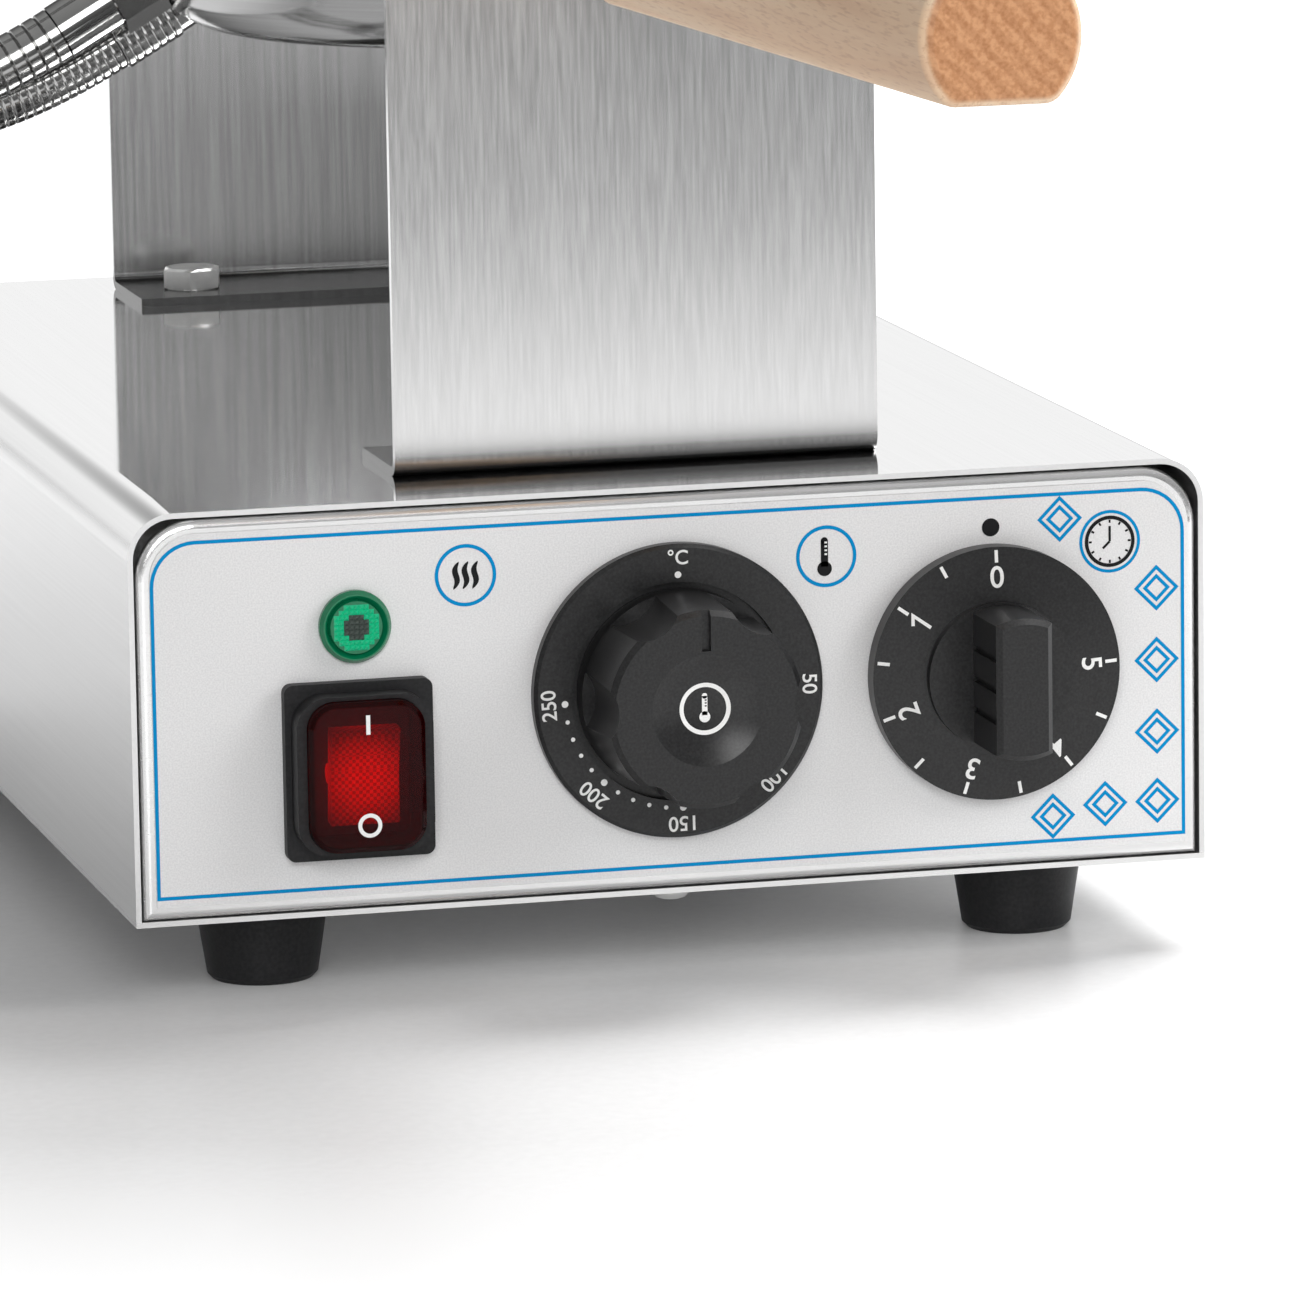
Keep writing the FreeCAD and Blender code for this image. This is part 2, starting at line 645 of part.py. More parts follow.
def power_rocker():
    """The rocker with its lower end pressed in."""
    pivot = V(SWITCH_X, FACE_Y - ROCKER_PIVOT_OUT, BASE_BOTTOM + SWITCH_Z)
    x0 = SWITCH_X - ROCKER_WIDTH / 2
    half = ROCKER_HALF_LENGTH
    back = FACE_Y - ROCKER_PIVOT_OUT - ROCKER_WING
    tip = FACE_Y - ROCKER_OUT
    outline = [
        V(x0, back, pivot.z - half), V(x0, tip, pivot.z - half), V(x0, tip + ROCKER_DISH, pivot.z),
        V(x0, tip, pivot.z + half), V(x0, back, pivot.z + half),
    ]
    body = polygon_face(outline).extrude(V(ROCKER_WIDTH, 0, 0))
    hub = rod(ROCKER_HUB_RADIUS, V(x0, pivot.y, pivot.z), V(x0 + ROCKER_WIDTH, pivot.y, pivot.z))
    rocker = joined([body, hub])
    rocker.rotate(pivot, V(1, 0, 0), ROCKER_TILT)
    return rocker


def switch_body():
    half_width = SWITCH_NECK_WIDTH / 2
    y0 = FACE_Y - SWITCH_NECK_OUT
    y1 = PANEL_Y + SWITCH_BODY_LENGTH
    z0 = BASE_BOTTOM + SWITCH_Z - SWITCH_NECK_HEIGHT / 2
    return block(SWITCH_X - half_width, SWITCH_X + half_width, y0, y1, z0, z0 + SWITCH_NECK_HEIGHT)


def thermostat_dial():
    """The fixed scale: a flat ring round a shallow well."""
    hole = SPINDLE_RADIUS + SPINDLE_CLEARANCE
    return on_panel(
        [
            (hole, 0), (DIAL_RADIUS, 0), (DIAL_RADIUS, DIAL_THICKNESS - DIAL_CHAMFER),
            (DIAL_RADIUS - DIAL_CHAMFER, DIAL_THICKNESS), (DIAL_OPENING_RADIUS, DIAL_THICKNESS),
            (DIAL_OPENING_RADIUS, DIAL_FLOOR), (hole, DIAL_FLOOR),
        ],
        THERMOSTAT_X, THERMOSTAT_Z,
    )


def thermostat_knob():
    """The fluted knob, with a dished face and an index groove at the top."""
    z = BASE_BOTTOM + THERMOSTAT_Z
    hole = SPINDLE_IN_KNOB + KNOB_UNDER
    bore = SPINDLE_RADIUS + SEAT_CLEARANCE
    knob = on_panel(
        [
            (bore, KNOB_UNDER), (KNOB_RADIUS, KNOB_UNDER), (KNOB_RADIUS, KNOB_SKIRT),
            (KNOB_TOP_RADIUS, KNOB_OUT - KNOB_EDGE), (KNOB_TOP_RADIUS - KNOB_EDGE, KNOB_OUT), (0, KNOB_OUT),
            (0, hole), (bore, hole),
        ],
        THERMOSTAT_X, THERMOSTAT_Z,
    )
    reach = KNOB_RADIUS + FLUTE_RADIUS - FLUTE_DEPTH
    y0 = FACE_Y - KNOB_SKIRT
    y1 = FACE_Y - KNOB_OUT - PAST
    tools = []
    for i in range(FLUTE_COUNT):
        angle = math.radians(360 / FLUTE_COUNT * (i + 0.5))
        x = THERMOSTAT_X + reach * math.sin(angle)
        flute_z = z + reach * math.cos(angle)
        tools.append(rod(FLUTE_RADIUS, V(x, y0, flute_z), V(x, y1, flute_z)))
    sphere = (DISH_RADIUS**2 + DISH_DEPTH**2) / (2 * DISH_DEPTH)
    tools.append(Part.makeSphere(sphere, V(THERMOSTAT_X, FACE_Y - KNOB_OUT + DISH_DEPTH - sphere, z)))
    tools.append(
        block(
            THERMOSTAT_X - INDEX_WIDTH / 2, THERMOSTAT_X + INDEX_WIDTH / 2, y1,
            FACE_Y - KNOB_OUT + INDEX_DEPTH, z + DISH_RADIUS + KNOB_EDGE / 2, z + KNOB_RADIUS + PAST,
        )
    )
    return without(knob, tools)


def spindle(x, z, knob_under):
    """A control's spindle, from inside its body to inside its knob."""
    z = BASE_BOTTOM + z
    start = V(x, PANEL_Y + PANEL_SHEET + SPINDLE_IN_BODY, z)
    return rod(SPINDLE_RADIUS, start, V(x, FACE_Y - knob_under - SPINDLE_IN_KNOB, z))


def thermostat_spindle():
    return spindle(THERMOSTAT_X, THERMOSTAT_Z, KNOB_UNDER)


def timer_spindle():
    return spindle(TIMER_X, TIMER_Z, SKIRT_UNDER_GAP)


def spindle_well(x, z):
    y0 = PANEL_Y + PANEL_SHEET
    end = V(x, y0 + SPINDLE_IN_BODY + SPINDLE_CLEARANCE, BASE_BOTTOM + z)
    return rod(SPINDLE_RADIUS + SPINDLE_CLEARANCE, V(x, y0, BASE_BOTTOM + z), end)


def thermostat_body():
    front = V(THERMOSTAT_X, PANEL_Y + PANEL_SHEET, BASE_BOTTOM + THERMOSTAT_Z)
    body = rod(THERMOSTAT_BODY_RADIUS, front, front + V(0, THERMOSTAT_BODY_LENGTH, 0))
    return body.cut(spindle_well(THERMOSTAT_X, THERMOSTAT_Z))


def timer_body():
    y0 = PANEL_Y + PANEL_SHEET
    z = BASE_BOTTOM + TIMER_Z
    half = TIMER_BODY_WIDTH / 2
    body = block(TIMER_X - half, TIMER_X + half, y0, y0 + TIMER_BODY_LENGTH, z - half, z + half)
    return body.cut(spindle_well(TIMER_X, TIMER_Z))


def timer_knob():
    """The skirted knob: a sloping scale, a raised disc and a bar grip with grooved flanks."""
    z = BASE_BOTTOM + TIMER_Z
    skirt = on_panel(
        [
            (0, SKIRT_UNDER_GAP), (SKIRT_RADIUS, SKIRT_UNDER_GAP), (SKIRT_RADIUS, SKIRT_OUT),
            (HUB_RADIUS, SKIRT_OUT + SKIRT_RISE), (HUB_RADIUS, HUB_OUT), (0, HUB_OUT),
        ],
        TIMER_X, TIMER_Z,
    )
    start = V(TIMER_X, FACE_Y - SKIRT_OUT, z)
    end = V(TIMER_X, FACE_Y - BAR_OUT, z)
    half = BAR_WIDTH / 2
    slab = block(TIMER_X - half, TIMER_X + half, end.y, start.y, z - BAR_RADIUS, z + BAR_RADIUS)
    bar = rod(BAR_RADIUS, start, end).common(slab)
    bar = bar.makeChamfer(BAR_EDGE, edges_at_y(bar, end.y))
    grooves = []
    for i in range(BAR_GROOVES):
        z0 = z + (i - (BAR_GROOVES - 1) / 2) * BAR_GROOVE_PITCH - BAR_GROOVE_WIDTH / 2
        for side in (-1, 1):
            low, high = sorted((TIMER_X + side * (half - BAR_GROOVE_DEPTH), TIMER_X + side * (half + PAST)))
            grooves.append(block(low, high, end.y + BAR_EDGE, FACE_Y - HUB_OUT, z0, z0 + BAR_GROOVE_WIDTH))
    bore_end = V(TIMER_X, FACE_Y - SKIRT_UNDER_GAP - SPINDLE_IN_KNOB, z)
    bore = rod(SPINDLE_RADIUS + SEAT_CLEARANCE, V(TIMER_X, FACE_Y, z), bore_end)
    return joined([skirt, without(bar, grooves)]).cut(bore)


# Inside and at the back of the box
def terminal_block():
    """The connector strip on the bottom plate, open at each way."""
    y0 = PANEL_Y + TERMINAL_BEHIND_PANEL
    half = TERMINAL_LENGTH / 2
    top = BASE_BOTTOM + TERMINAL_HEIGHT
    strip = block(-half, half, y0, y0 + TERMINAL_DEPTH, BASE_BOTTOM, top)
    pitch = TERMINAL_LENGTH / TERMINAL_WAYS
    middle = y0 + TERMINAL_DEPTH / 2
    half_way = TERMINAL_WAY_WIDTH / 2
    front = middle - half_way
    back = middle + half_way
    floor = top - TERMINAL_WAY_DEPTH
    ways = []
    for i in range(TERMINAL_WAYS):
        x = -half + (i + 0.5) * pitch
        ways.append(block(x - half_way, x + half_way, front, back, floor, top + PAST))
    return without(strip, ways)


def rear_gland(x, z):
    """A cable gland through the rear panel, with a round nose and an open bore."""
    shank = -PANEL_SHEET - INLET_SHANK_LENGTH
    profile = [
        (INLET_BORE_RADIUS, shank), (INLET_SHANK_RADIUS - HOLE_CLEARANCE, shank),
        (INLET_SHANK_RADIUS - HOLE_CLEARANCE, 0), (INLET_FLANGE_RADIUS, 0),
        (INLET_FLANGE_RADIUS, INLET_FLANGE_LENGTH), (INLET_NOSE_RADIUS, GLAND_REACH),
        (INLET_BORE_RADIUS, GLAND_REACH),
    ]
    return turned(profile, V(x, REAR_Y, BASE_BOTTOM + z), V(0, 1, 0), V(1, 0, 0))


def mains_inlet_gland():
    return rear_gland(INLET_X, INLET_Z)


def pan_cable_gland():
    return rear_gland(PAN_CABLE_X, PAN_CABLE_Z)


# Shaft, yoke and hinge
def pan_shaft():
    end = REAR_UPRIGHT_Y + BUSH_TAIL + SHAFT_END_PLAY + SHAFT_NUT_LENGTH + SHAFT_TAIL
    start = V(0, YOKE_BACK_Y + YOKE_BACK_THICKNESS, AXIS_Z)
    return tube(SHAFT_RADIUS, SHAFT_BORE_RADIUS, start, V(0, end, AXIS_Z))


def shaft_nut():
    start = REAR_UPRIGHT_Y + BUSH_TAIL + SHAFT_END_PLAY
    nut = tube(SHAFT_NUT_RADIUS, SHAFT_RADIUS, V(0, start, AXIS_Z), V(0, start + SHAFT_NUT_LENGTH, AXIS_Z))
    return nut.makeChamfer(PAST, edges_at_y(nut, start + SHAFT_NUT_LENGTH)[:1])


def shaft_grommet():
    """The rubber ring in the shaft's open end, which the pan's cable runs through."""
    end = REAR_UPRIGHT_Y + BUSH_TAIL + SHAFT_END_PLAY + SHAFT_NUT_LENGTH + SHAFT_TAIL
    inner = SHAFT_BORE_RADIUS - GROMMET_WALL
    seat = SHAFT_BORE_RADIUS - SEAT_CLEARANCE
    profile = [
        (inner, -2 * GROMMET_LIP), (seat, -2 * GROMMET_LIP), (seat, 0),
        (SHAFT_RADIUS, 0), (SHAFT_RADIUS - GROMMET_WALL, GROMMET_LIP), (inner, GROMMET_LIP),
    ]
    return turned(profile, V(0, end, AXIS_Z), V(0, 1, 0), V(1, 0, 0))


def tab(half_width, back):
    """The lug behind the lower plate."""
    front = PAN_Y + TAB_BEHIND_PAN - TAB_OVERLAP - BOSS_HALF_WIDTH
    return block(-half_width, half_width, front, back, AXIS_Z - PLATE_UNDER, AXIS_Z - PLATE_FACE_GAP / 2)


def arm_outer():
    return KNUCKLE_HALF_WIDTH + KNUCKLE_SIDE_GAP + ARM_THICKNESS


def pan_yoke():
    """Two arms under the lower plate's lug, joined by a back plate with the shaft's seat."""
    inner = KNUCKLE_HALF_WIDTH + KNUCKLE_SIDE_GAP
    outer = arm_outer()
    front = PAN_Y + TAB_BEHIND_PAN - TAB_OVERLAP
    back = YOKE_BACK_Y + YOKE_BACK_THICKNESS
    under = AXIS_Z - PLATE_UNDER
    pieces = [block(-outer, outer, YOKE_BACK_Y, back, under - ARM_DROP, AXIS_Z + YOKE_BACK_OVER_AXIS)]
    tools = [rod(PIN_RADIUS + RUNNING_CLEARANCE, V(-outer, HINGE_Y, AXIS_Z), V(outer, HINGE_Y, AXIS_Z))]
    for side in (-1, 1):
        x0, x1 = sorted((side * inner, side * outer))
        pieces.append(block(x0, x1, front, back, under - ARM_DROP, under))
        pieces.append(block(x0, x1, PAN_Y + TAB_BEHIND_PAN + PAST, back, under, AXIS_Z))
        pieces.append(rod(KNUCKLE_RADIUS, V(x0, HINGE_Y, AXIS_Z), V(x1, HINGE_Y, AXIS_Z)))
    tools.append(rod(SHAFT_BORE_RADIUS, V(0, YOKE_BACK_Y - PAST, AXIS_Z), V(0, back + PAST, AXIS_Z)))
    return without(joined(pieces), tools)


def hinge_pin():
    reach = arm_outer() + PIN_OVERHANG
    return rod(PIN_RADIUS, V(-reach, HINGE_Y, AXIS_Z), V(reach, HINGE_Y, AXIS_Z))


# Plates, domes and heaters
def grid_grooves(face_z):
    """The waffle pattern: two sets of grooves, inside the lip."""
    field = PLATE_RADIUS - LIP_WIDTH - GRID_GROOVE
    count = int(field / GRID_PITCH)
    places = [(i + 0.5) * GRID_PITCH for i in range(-count - 1, count + 1)]
    half = GRID_GROOVE / 2
    z0 = face_z - GRID_DEPTH
    z1 = face_z + PAST
    bars = []
    for place in places:
        reach_squared = field**2 - (abs(place) + half) ** 2
        if reach_squared > GRID_PITCH**2:
            reach = math.sqrt(reach_squared)
            bars.append(block(place - half, place + half, PAN_Y - reach, PAN_Y + reach, z0, z1))
            bars.append(block(-reach, reach, PAN_Y + place - half, PAN_Y + place + half, z0, z1))
    return joined(bars)


def plate_disc():
    """The lower plate's casting before its boss and lugs: disc, lip and grid."""
    face = PLATE_FACE_GAP / 2
    lip = HALVES_GAP / 2
    inner = PLATE_RADIUS - LIP_WIDTH
    profile = [
        (0, -PLATE_UNDER), (PLATE_RADIUS, -PLATE_UNDER), (PLATE_RADIUS, -lip),
        (inner, -lip), (inner, -face), (0, -face),
    ]
    disc = turned(profile, V(0, PAN_Y, AXIS_Z), V(0, 0, 1), V(1, 0, 0))
    return disc.cut(grid_grooves(AXIS_Z - face))


def handle_point(y):
    """A point on the lower handle's centre line."""
    tip = PANEL_Y - GRIP_REACH
    fall = GRIP_DROP / GRIP_LENGTH
    return V(0, y, AXIS_Z - GRIP_TIP_OFFSET - fall * (y - tip))


def boss_front():
    return PAN_Y - PLATE_RADIUS - BOSS_LENGTH


def front_boss():
    """The boss in front of the lower plate that the handle's rod goes into."""
    half = BOSS_HALF_WIDTH
    edge = PAN_Y - PLATE_RADIUS
    under = AXIS_Z - PLATE_UNDER
    top = AXIS_Z - PLATE_FACE_GAP
    lower = block(-half, half, boss_front(), edge, under - BOSS_DROP, top)
    upper = block(-half, half, boss_front(), edge + LIP_WIDTH, under, top)
    return joined([lower, upper])


def rod_bore():
    start = handle_point(boss_front() - PAST)
    return rod(ROD_RADIUS + RUNNING_CLEARANCE, start, handle_point(boss_front() + ROD_IN_BOSS))


def half_plate(rear_lug):
    casting = joined([plate_disc(), front_boss(), rear_lug])
    return casting.cut(rod_bore())


def lower_plate():
    return half_plate(tab(arm_outer(), PAN_Y + TAB_BEHIND_PAN))


def lid_knuckle():
    """The hinge knuckle of the upper half, drawn on the lower half so that it can be mirrored."""
    half = KNUCKLE_HALF_WIDTH
    front = PAN_Y + TAB_BEHIND_PAN - PAST
    arm = block(-half, half, front, HINGE_Y, AXIS_Z - KNUCKLE_RADIUS, AXIS_Z - PLATE_FACE_GAP / 2)
    knuckle = rod(KNUCKLE_RADIUS, V(-half, HINGE_Y, AXIS_Z), V(half, HINGE_Y, AXIS_Z))
    bore = rod(PIN_RADIUS + RUNNING_CLEARANCE, V(-half, HINGE_Y, AXIS_Z), V(half, HINGE_Y, AXIS_Z))
    return joined([tab(half, PAN_Y + TAB_BEHIND_PAN), arm, knuckle]).cut(bore)


def upper_plate():
    return mirrored_over_axis(half_plate(lid_knuckle()))


def dome_corners(offset):
    """The dome's profile, moved in by offset: end of the flat, start of the wall and end of the wall."""
    slope = math.radians(DOME_SLOPE)
    corner = DOME_CORNER - offset
    flat_end = V(DOME_FLAT_RADIUS, 0, -DOME_HEIGHT + offset)
    centre = flat_end + V(0, 0, corner)
    wall_start = centre + V(corner * math.sin(slope), 0, -corner * math.cos(slope))
    rim = -PLATE_UNDER - DOME_SHEET
    wall_end = V(wall_start.x + (rim - wall_start.z) / math.tan(slope), 0, rim)
    return flat_end, wall_start, wall_end


def dome_outside():
    """The dome's outer profile as edges, from the axis out to the rim."""
    half = math.radians(DOME_SLOPE) / 2
    flat_end, wall_start, wall_end = dome_corners(0)
    on_corner = flat_end + V(DOME_CORNER * math.sin(half), 0, DOME_CORNER * (1 - math.cos(half)))
    return [
        Part.LineSegment(V(0, 0, -DOME_HEIGHT), flat_end),
        Part.Arc(flat_end, on_corner, wall_start),
        Part.LineSegment(wall_start, wall_end),
    ]


def lines(points):
    return [Part.LineSegment(a, b) for a, b in zip(points, points[1:])]


def dome_from(edges):
    face = Part.Face(Part.Wire([edge.toShape() for edge in edges]))
    dome = face.revolve(V(0, 0, 0), V(0, 0, 1), 360)
    dome.translate(V(0, PAN_Y, AXIS_Z))
    return dome


def dome_envelope():
    """The lower dome filled in, which trims what is seated on its outside."""
    rim = dome_corners(0)[2]
    return dome_from(dome_outside() + lines([rim, V(0, 0, rim.z), V(0, 0, -DOME_HEIGHT)]))


def lower_dome():
    """The spun dish under the lower plate, with a flat flange."""
    rim = dome_corners(0)[2]
    flat_end, wall_start, wall_end = dome_corners(DOME_SHEET)
    reach = PLATE_RADIUS - DOME_FLANGE_MARGIN
    under = -PLATE_UNDER
    inside = [
        rim, V(reach, 0, rim.z), V(reach, 0, under), V(wall_end.x, 0, under),
        wall_end, wall_start, flat_end, V(0, 0, flat_end.z), V(0, 0, -DOME_HEIGHT),
    ]
    return dome_from(dome_outside() + lines(inside))


def upper_dome():
    return mirrored_over_axis(lower_dome())


def lower_heater():
    """The flat heating ring pressed under the plate, open at the back for its terminals."""
    top = V(0, PAN_Y, AXIS_Z - PLATE_UNDER)
    half = HEATER_WIDTH / 2
    ring = tube(HEATER_RADIUS + half, HEATER_RADIUS - half, top - V(0, 0, HEATER_HEIGHT), top)
    opening = block(
        -HEATER_OPENING / 2, HEATER_OPENING / 2, PAN_Y, PAN_Y + HEATER_RADIUS + HEATER_WIDTH,
        top.z - HEATER_HEIGHT - PAST, top.z + PAST,
    )
    return ring.cut(opening)


def upper_heater():
    return mirrored_over_axis(lower_heater())


# Journal and handles
def lower_journal():
    """The lower half of the grooved journal that turns in the front upright."""
    groove0 = FRONT_UPRIGHT_Y - GROOVE_PLAY
    groove1 = FRONT_UPRIGHT_Y + UPRIGHT_SHEET + GROOVE_PLAY
    front = groove0 - COLLAR_THICKNESS
    back = groove1 + COLLAR_THICKNESS
    collar = COLLAR_RADIUS
    spool = turned(
        [
            (0, front), (collar, front), (collar, groove0), (JOURNAL_RADIUS, groove0),
            (JOURNAL_RADIUS, groove1), (collar, groove1), (collar, back), (0, back),
        ],
        V(0, 0, AXIS_Z), V(0, 1, 0), V(1, 0, 0),
    )
    y0 = front - PAST
    y1 = back + PAST
    upper = block(-collar, collar, y0, y1, AXIS_Z - HALVES_GAP / 2, AXIS_Z + collar)
    bore = rod(ROD_RADIUS + SEAT_CLEARANCE, handle_point(y0), handle_point(y1))
    return without(spool, [upper, bore])


def upper_journal():
    return mirrored_over_axis(lower_journal())


def grip_end():
    return PANEL_Y - GRIP_REACH + GRIP_LENGTH


def lower_rod():
    return rod(ROD_RADIUS, handle_point(grip_end() - ROD_IN_GRIP), handle_point(boss_front() + ROD_IN_BOSS))


def upper_rod():
    return mirrored_over_axis(lower_rod())


def lower_ferrule():
    """The steel cap between the grip and the journal, cut square where it meets the grip."""
    start = handle_point(grip_end() - PAST)
    end = handle_point(grip_end() + FERRULE_LENGTH)
    along = end - start
    cone = Part.makeCone(FERRULE_RADIUS, FERRULE_NECK_RADIUS, along.Length, start, along)
    low = start - V(GRIP_WIDTH, GRIP_WIDTH, GRIP_WIDTH)
    high = start + V(GRIP_WIDTH, 0, GRIP_WIDTH)
    beyond = block(low.x, high.x, low.y, grip_end(), low.z, high.z)
    return without(cone, [beyond, rod(ROD_RADIUS + SEAT_CLEARANCE, start - along, end + along)])


def upper_ferrule():
    return mirrored_over_axis(lower_ferrule())


def lower_grip():
    """The wooden grip: flat above and below, round at the sides, with broken edges."""
    tip = handle_point(PANEL_Y - GRIP_REACH)
    end = handle_point(grip_end())
    flat = GRIP_FLAT / 2
    side = GRIP_WIDTH / 2
    rise = GRIP_HEIGHT / 2
    edges = [
        Part.LineSegment(tip + V(-flat, 0, -rise), tip + V(flat, 0, -rise)),
        Part.Arc(tip + V(flat, 0, -rise), tip + V(side, 0, 0), tip + V(flat, 0, rise)),
        Part.LineSegment(tip + V(flat, 0, rise), tip + V(-flat, 0, rise)),
        Part.Arc(tip + V(-flat, 0, rise), tip + V(-side, 0, 0), tip + V(-flat, 0, -rise)),
    ]
    grip = Part.Face(Part.Wire([edge.toShape() for edge in edges])).extrude(end - tip)
    long_edges = [e for e in grip.Edges if e.BoundBox.YLength > GRIP_LENGTH / 2]
    grip = grip.makeFillet(GRIP_EDGE, long_edges)
    grip = grip.makeFillet(GRIP_END_EDGE, edges_at_y(grip, tip.y))
    bore_start = handle_point(grip_end() - ROD_IN_GRIP)
    return grip.cut(rod(ROD_RADIUS, bore_start, handle_point(grip_end() + PAST)))


def upper_grip():
    return mirrored_over_axis(lower_grip())


# Glands and hoses
def gland_direction():
    """Outwards and down from the dome's left wall, square to it."""
    angle = math.radians(GLAND_ANGLE)
    return V(-math.cos(angle), 0, -math.sin(angle))


def wall_radius(drop):
    """The radius of the dome's sloping wall at a drop below the axis."""
    rim = dome_corners(0)[2]
    return rim.x - (drop + rim.z) / math.tan(math.radians(DOME_SLOPE))


def corner_radius_at(drop):
    """The radius of the dome's round corner at a drop below the axis."""
    height = DOME_CORNER - (DOME_HEIGHT - drop)
    return DOME_FLAT_RADIUS + math.sqrt(DOME_CORNER**2 - height**2)


def gland_one():
    """Where the first gland's axis meets the dome."""
    return V(-wall_radius(GLAND_ONE_DROP), PAN_Y, AXIS_Z - GLAND_ONE_DROP)


def gland_two():
    """Where the second gland's axis meets the dome, lower and further back."""
    radius = corner_radius_at(GLAND_TWO_DROP)
    return V(-math.sqrt(radius**2 - GLAND_TWO_BEHIND**2), PAN_Y + GLAND_TWO_BEHIND, AXIS_Z - GLAND_TWO_DROP)


def lower_gland_nut():
    out = gland_direction()
    start = gland_one() - out * HOSE_BORE_RADIUS
    end = gland_one() + out * GLAND_NUT_LENGTH
    nut = hexagon(GLAND_NUT_FLATS, start, end).cut(rod(HOSE_BORE_RADIUS, start, end))
    return nut.cut(dome_envelope())


def upper_gland_nut():
    return mirrored_over_axis(lower_gland_nut())


def hose_one_start():
    return gland_one() + gland_direction() * (GLAND_NUT_LENGTH + HOSE_FERRULE_LENGTH)


def hose_two_start():
    return gland_two() + gland_direction() * GLAND_TWO_LENGTH


def lower_hose_ferrules():
    """The smooth sleeves of the two hoses; the second one goes straight into the dome's corner."""
    out = gland_direction()
    nut_end = gland_one() + out * GLAND_NUT_LENGTH
    inside_dome = gland_two() - out * HOSE_FERRULE_RADIUS
    first = tube(HOSE_FERRULE_RADIUS, HOSE_BORE_RADIUS, nut_end, hose_one_start())
    second = tube(HOSE_FERRULE_RADIUS, HOSE_BORE_RADIUS, inside_dome, hose_two_start())
    return Part.makeCompound([first, second.cut(dome_envelope())])


def upper_hose_ferrules():
    return mirrored_over_axis(lower_hose_ferrules())


def route_line(points):
    """The route's straight runs joined by tangent arcs, as one wire, and the arcs' radii."""
    edges = []
    radii = []
    at = points[0]
    for before, corner, after in zip(points, points[1:], points[2:]):
        into = (corner - before).normalize()
        out = (after - corner).normalize()
        turn = into.getAngle(out)
        run = min((corner - before).Length, (after - corner).Length)
        cut = ROUTE_ARC_SHARE * run
        radius = cut / math.tan(turn / 2)
        start = corner - into * cut
        end = corner + out * cut
        inwards = (out - into).normalize()
        middle = corner + inwards * (radius / math.cos(turn / 2) - radius)
        edges.append(Part.LineSegment(at, start).toShape())
        edges.append(Part.Arc(start, middle, end).toShape())
        radii.append(round(radius, 1))
        at = end
    edges.append(Part.LineSegment(at, points[-1]).toShape())
    return Part.Wire(edges), radii


def stations(wire, distances):
    """Points and directions along a wire at the given distances from its start."""
    found = []
    left = 0.0
    edges = list(wire.Edges)
    for distance in distances:
        while len(edges) > 1 and distance - left > edges[0].Length:
            left += edges[0].Length
            edges.pop(0)
        edge = edges[0]
        parameter = edge.getParameterByLength(min(distance - left, edge.Length))
        found.append((edge.valueAt(parameter), edge.tangentAt(parameter)))
    return found


def ring(radius, point, direction):
    """A circle across the hose, whose X axis stays on +Y all along it."""
    across = V(0, 1, 0)
    circle = Part.Circle()
    circle.Radius = radius
    frame = FreeCAD.Matrix()
    third = direction.cross(across)
    frame.A11, frame.A21, frame.A31 = across.x, across.y, across.z
    frame.A12, frame.A22, frame.A32 = third.x, third.y, third.z
    frame.A13, frame.A23, frame.A33 = -direction.x, -direction.y, -direction.z
    frame.A14, frame.A24, frame.A34 = point.x, point.y, point.z
    shape = circle.toShape()
    shape.transformShape(frame)
    return Part.Wire([shape])


def rib_rings(length):
    """Distances and radii of the rings: plain ends, and four rings to each rib between them."""
    plain = 2 * HOSE_RADIUS
    count = int((length - 2 * plain) / HOSE_RIB_PITCH)
    pitch = (length - 2 * plain) / count
    crest = pitch * HOSE_RIB_SHARE
    rings = [(0.0, HOSE_VALLEY_RADIUS)]
    for i in range(count):
        start = plain + i * pitch + (pitch - crest) / 2
        rings.append((start - HOSE_RIB_SLOPE / 2, HOSE_VALLEY_RADIUS))
        rings.append((start + HOSE_RIB_SLOPE / 2, HOSE_RADIUS))
        rings.append((start + crest - HOSE_RIB_SLOPE / 2, HOSE_RADIUS))
        rings.append((start + crest + HOSE_RIB_SLOPE / 2, HOSE_VALLEY_RADIUS))
    rings.append((length, HOSE_VALLEY_RADIUS))
    return rings


def least_gap(wire):
    """The least space between two parts of the hose that are over two diameters apart along it."""
    count = int(wire.Length / (HOSE_RADIUS * ROUTE_STEP))
    step = wire.Length / count
    points = [p for p, _ in stations(wire, [i * step for i in range(count + 1)])]
    apart = int(4 * HOSE_RADIUS / step)
    gaps = [(a - b).Length for i, a in enumerate(points) for b in points[i + apart:]]
    return min(gaps) - 2 * HOSE_RADIUS


def whole_route(start, half, bulge):
    """The points of a route from the lower ferrule round to the upper one."""
    lower = [start + V(x, 0, z) for x, z in half]
    lower[0] = start + gland_direction() * SEAT_CLEARANCE
    upper = [V(p.x, p.y, 2 * AXIS_Z - p.z) for p in reversed(lower)]
    return lower + [V(start.x - bulge, start.y, AXIS_Z)] + upper


def hose(name, points):
    """A ribbed hose with an open bore along a flat route."""
    wire, radii = route_line(points)
    rings = rib_rings(wire.Length)
    at = stations(wire, [distance for distance, _ in rings])
    outside = Part.makeLoft([ring(r, p, d) for (_, r), (p, d) in zip(rings, at)], True, True)
    bore_count = 2 * len(points)
    bore_at = stations(wire, [wire.Length * i / bore_count for i in range(bore_count + 1)])
    bore = Part.makeLoft([ring(HOSE_BORE_RADIUS, p, d) for p, d in bore_at], True, True)
    print(name, "length", round(wire.Length, 1), "radii", radii, "least gap", round(least_gap(wire), 1))
    return outside.cut(bore)


def hose_one():
    return hose("hose_one", whole_route(hose_one_start(), HOSE_ONE_ROUTE, HOSE_ONE_BULGE))


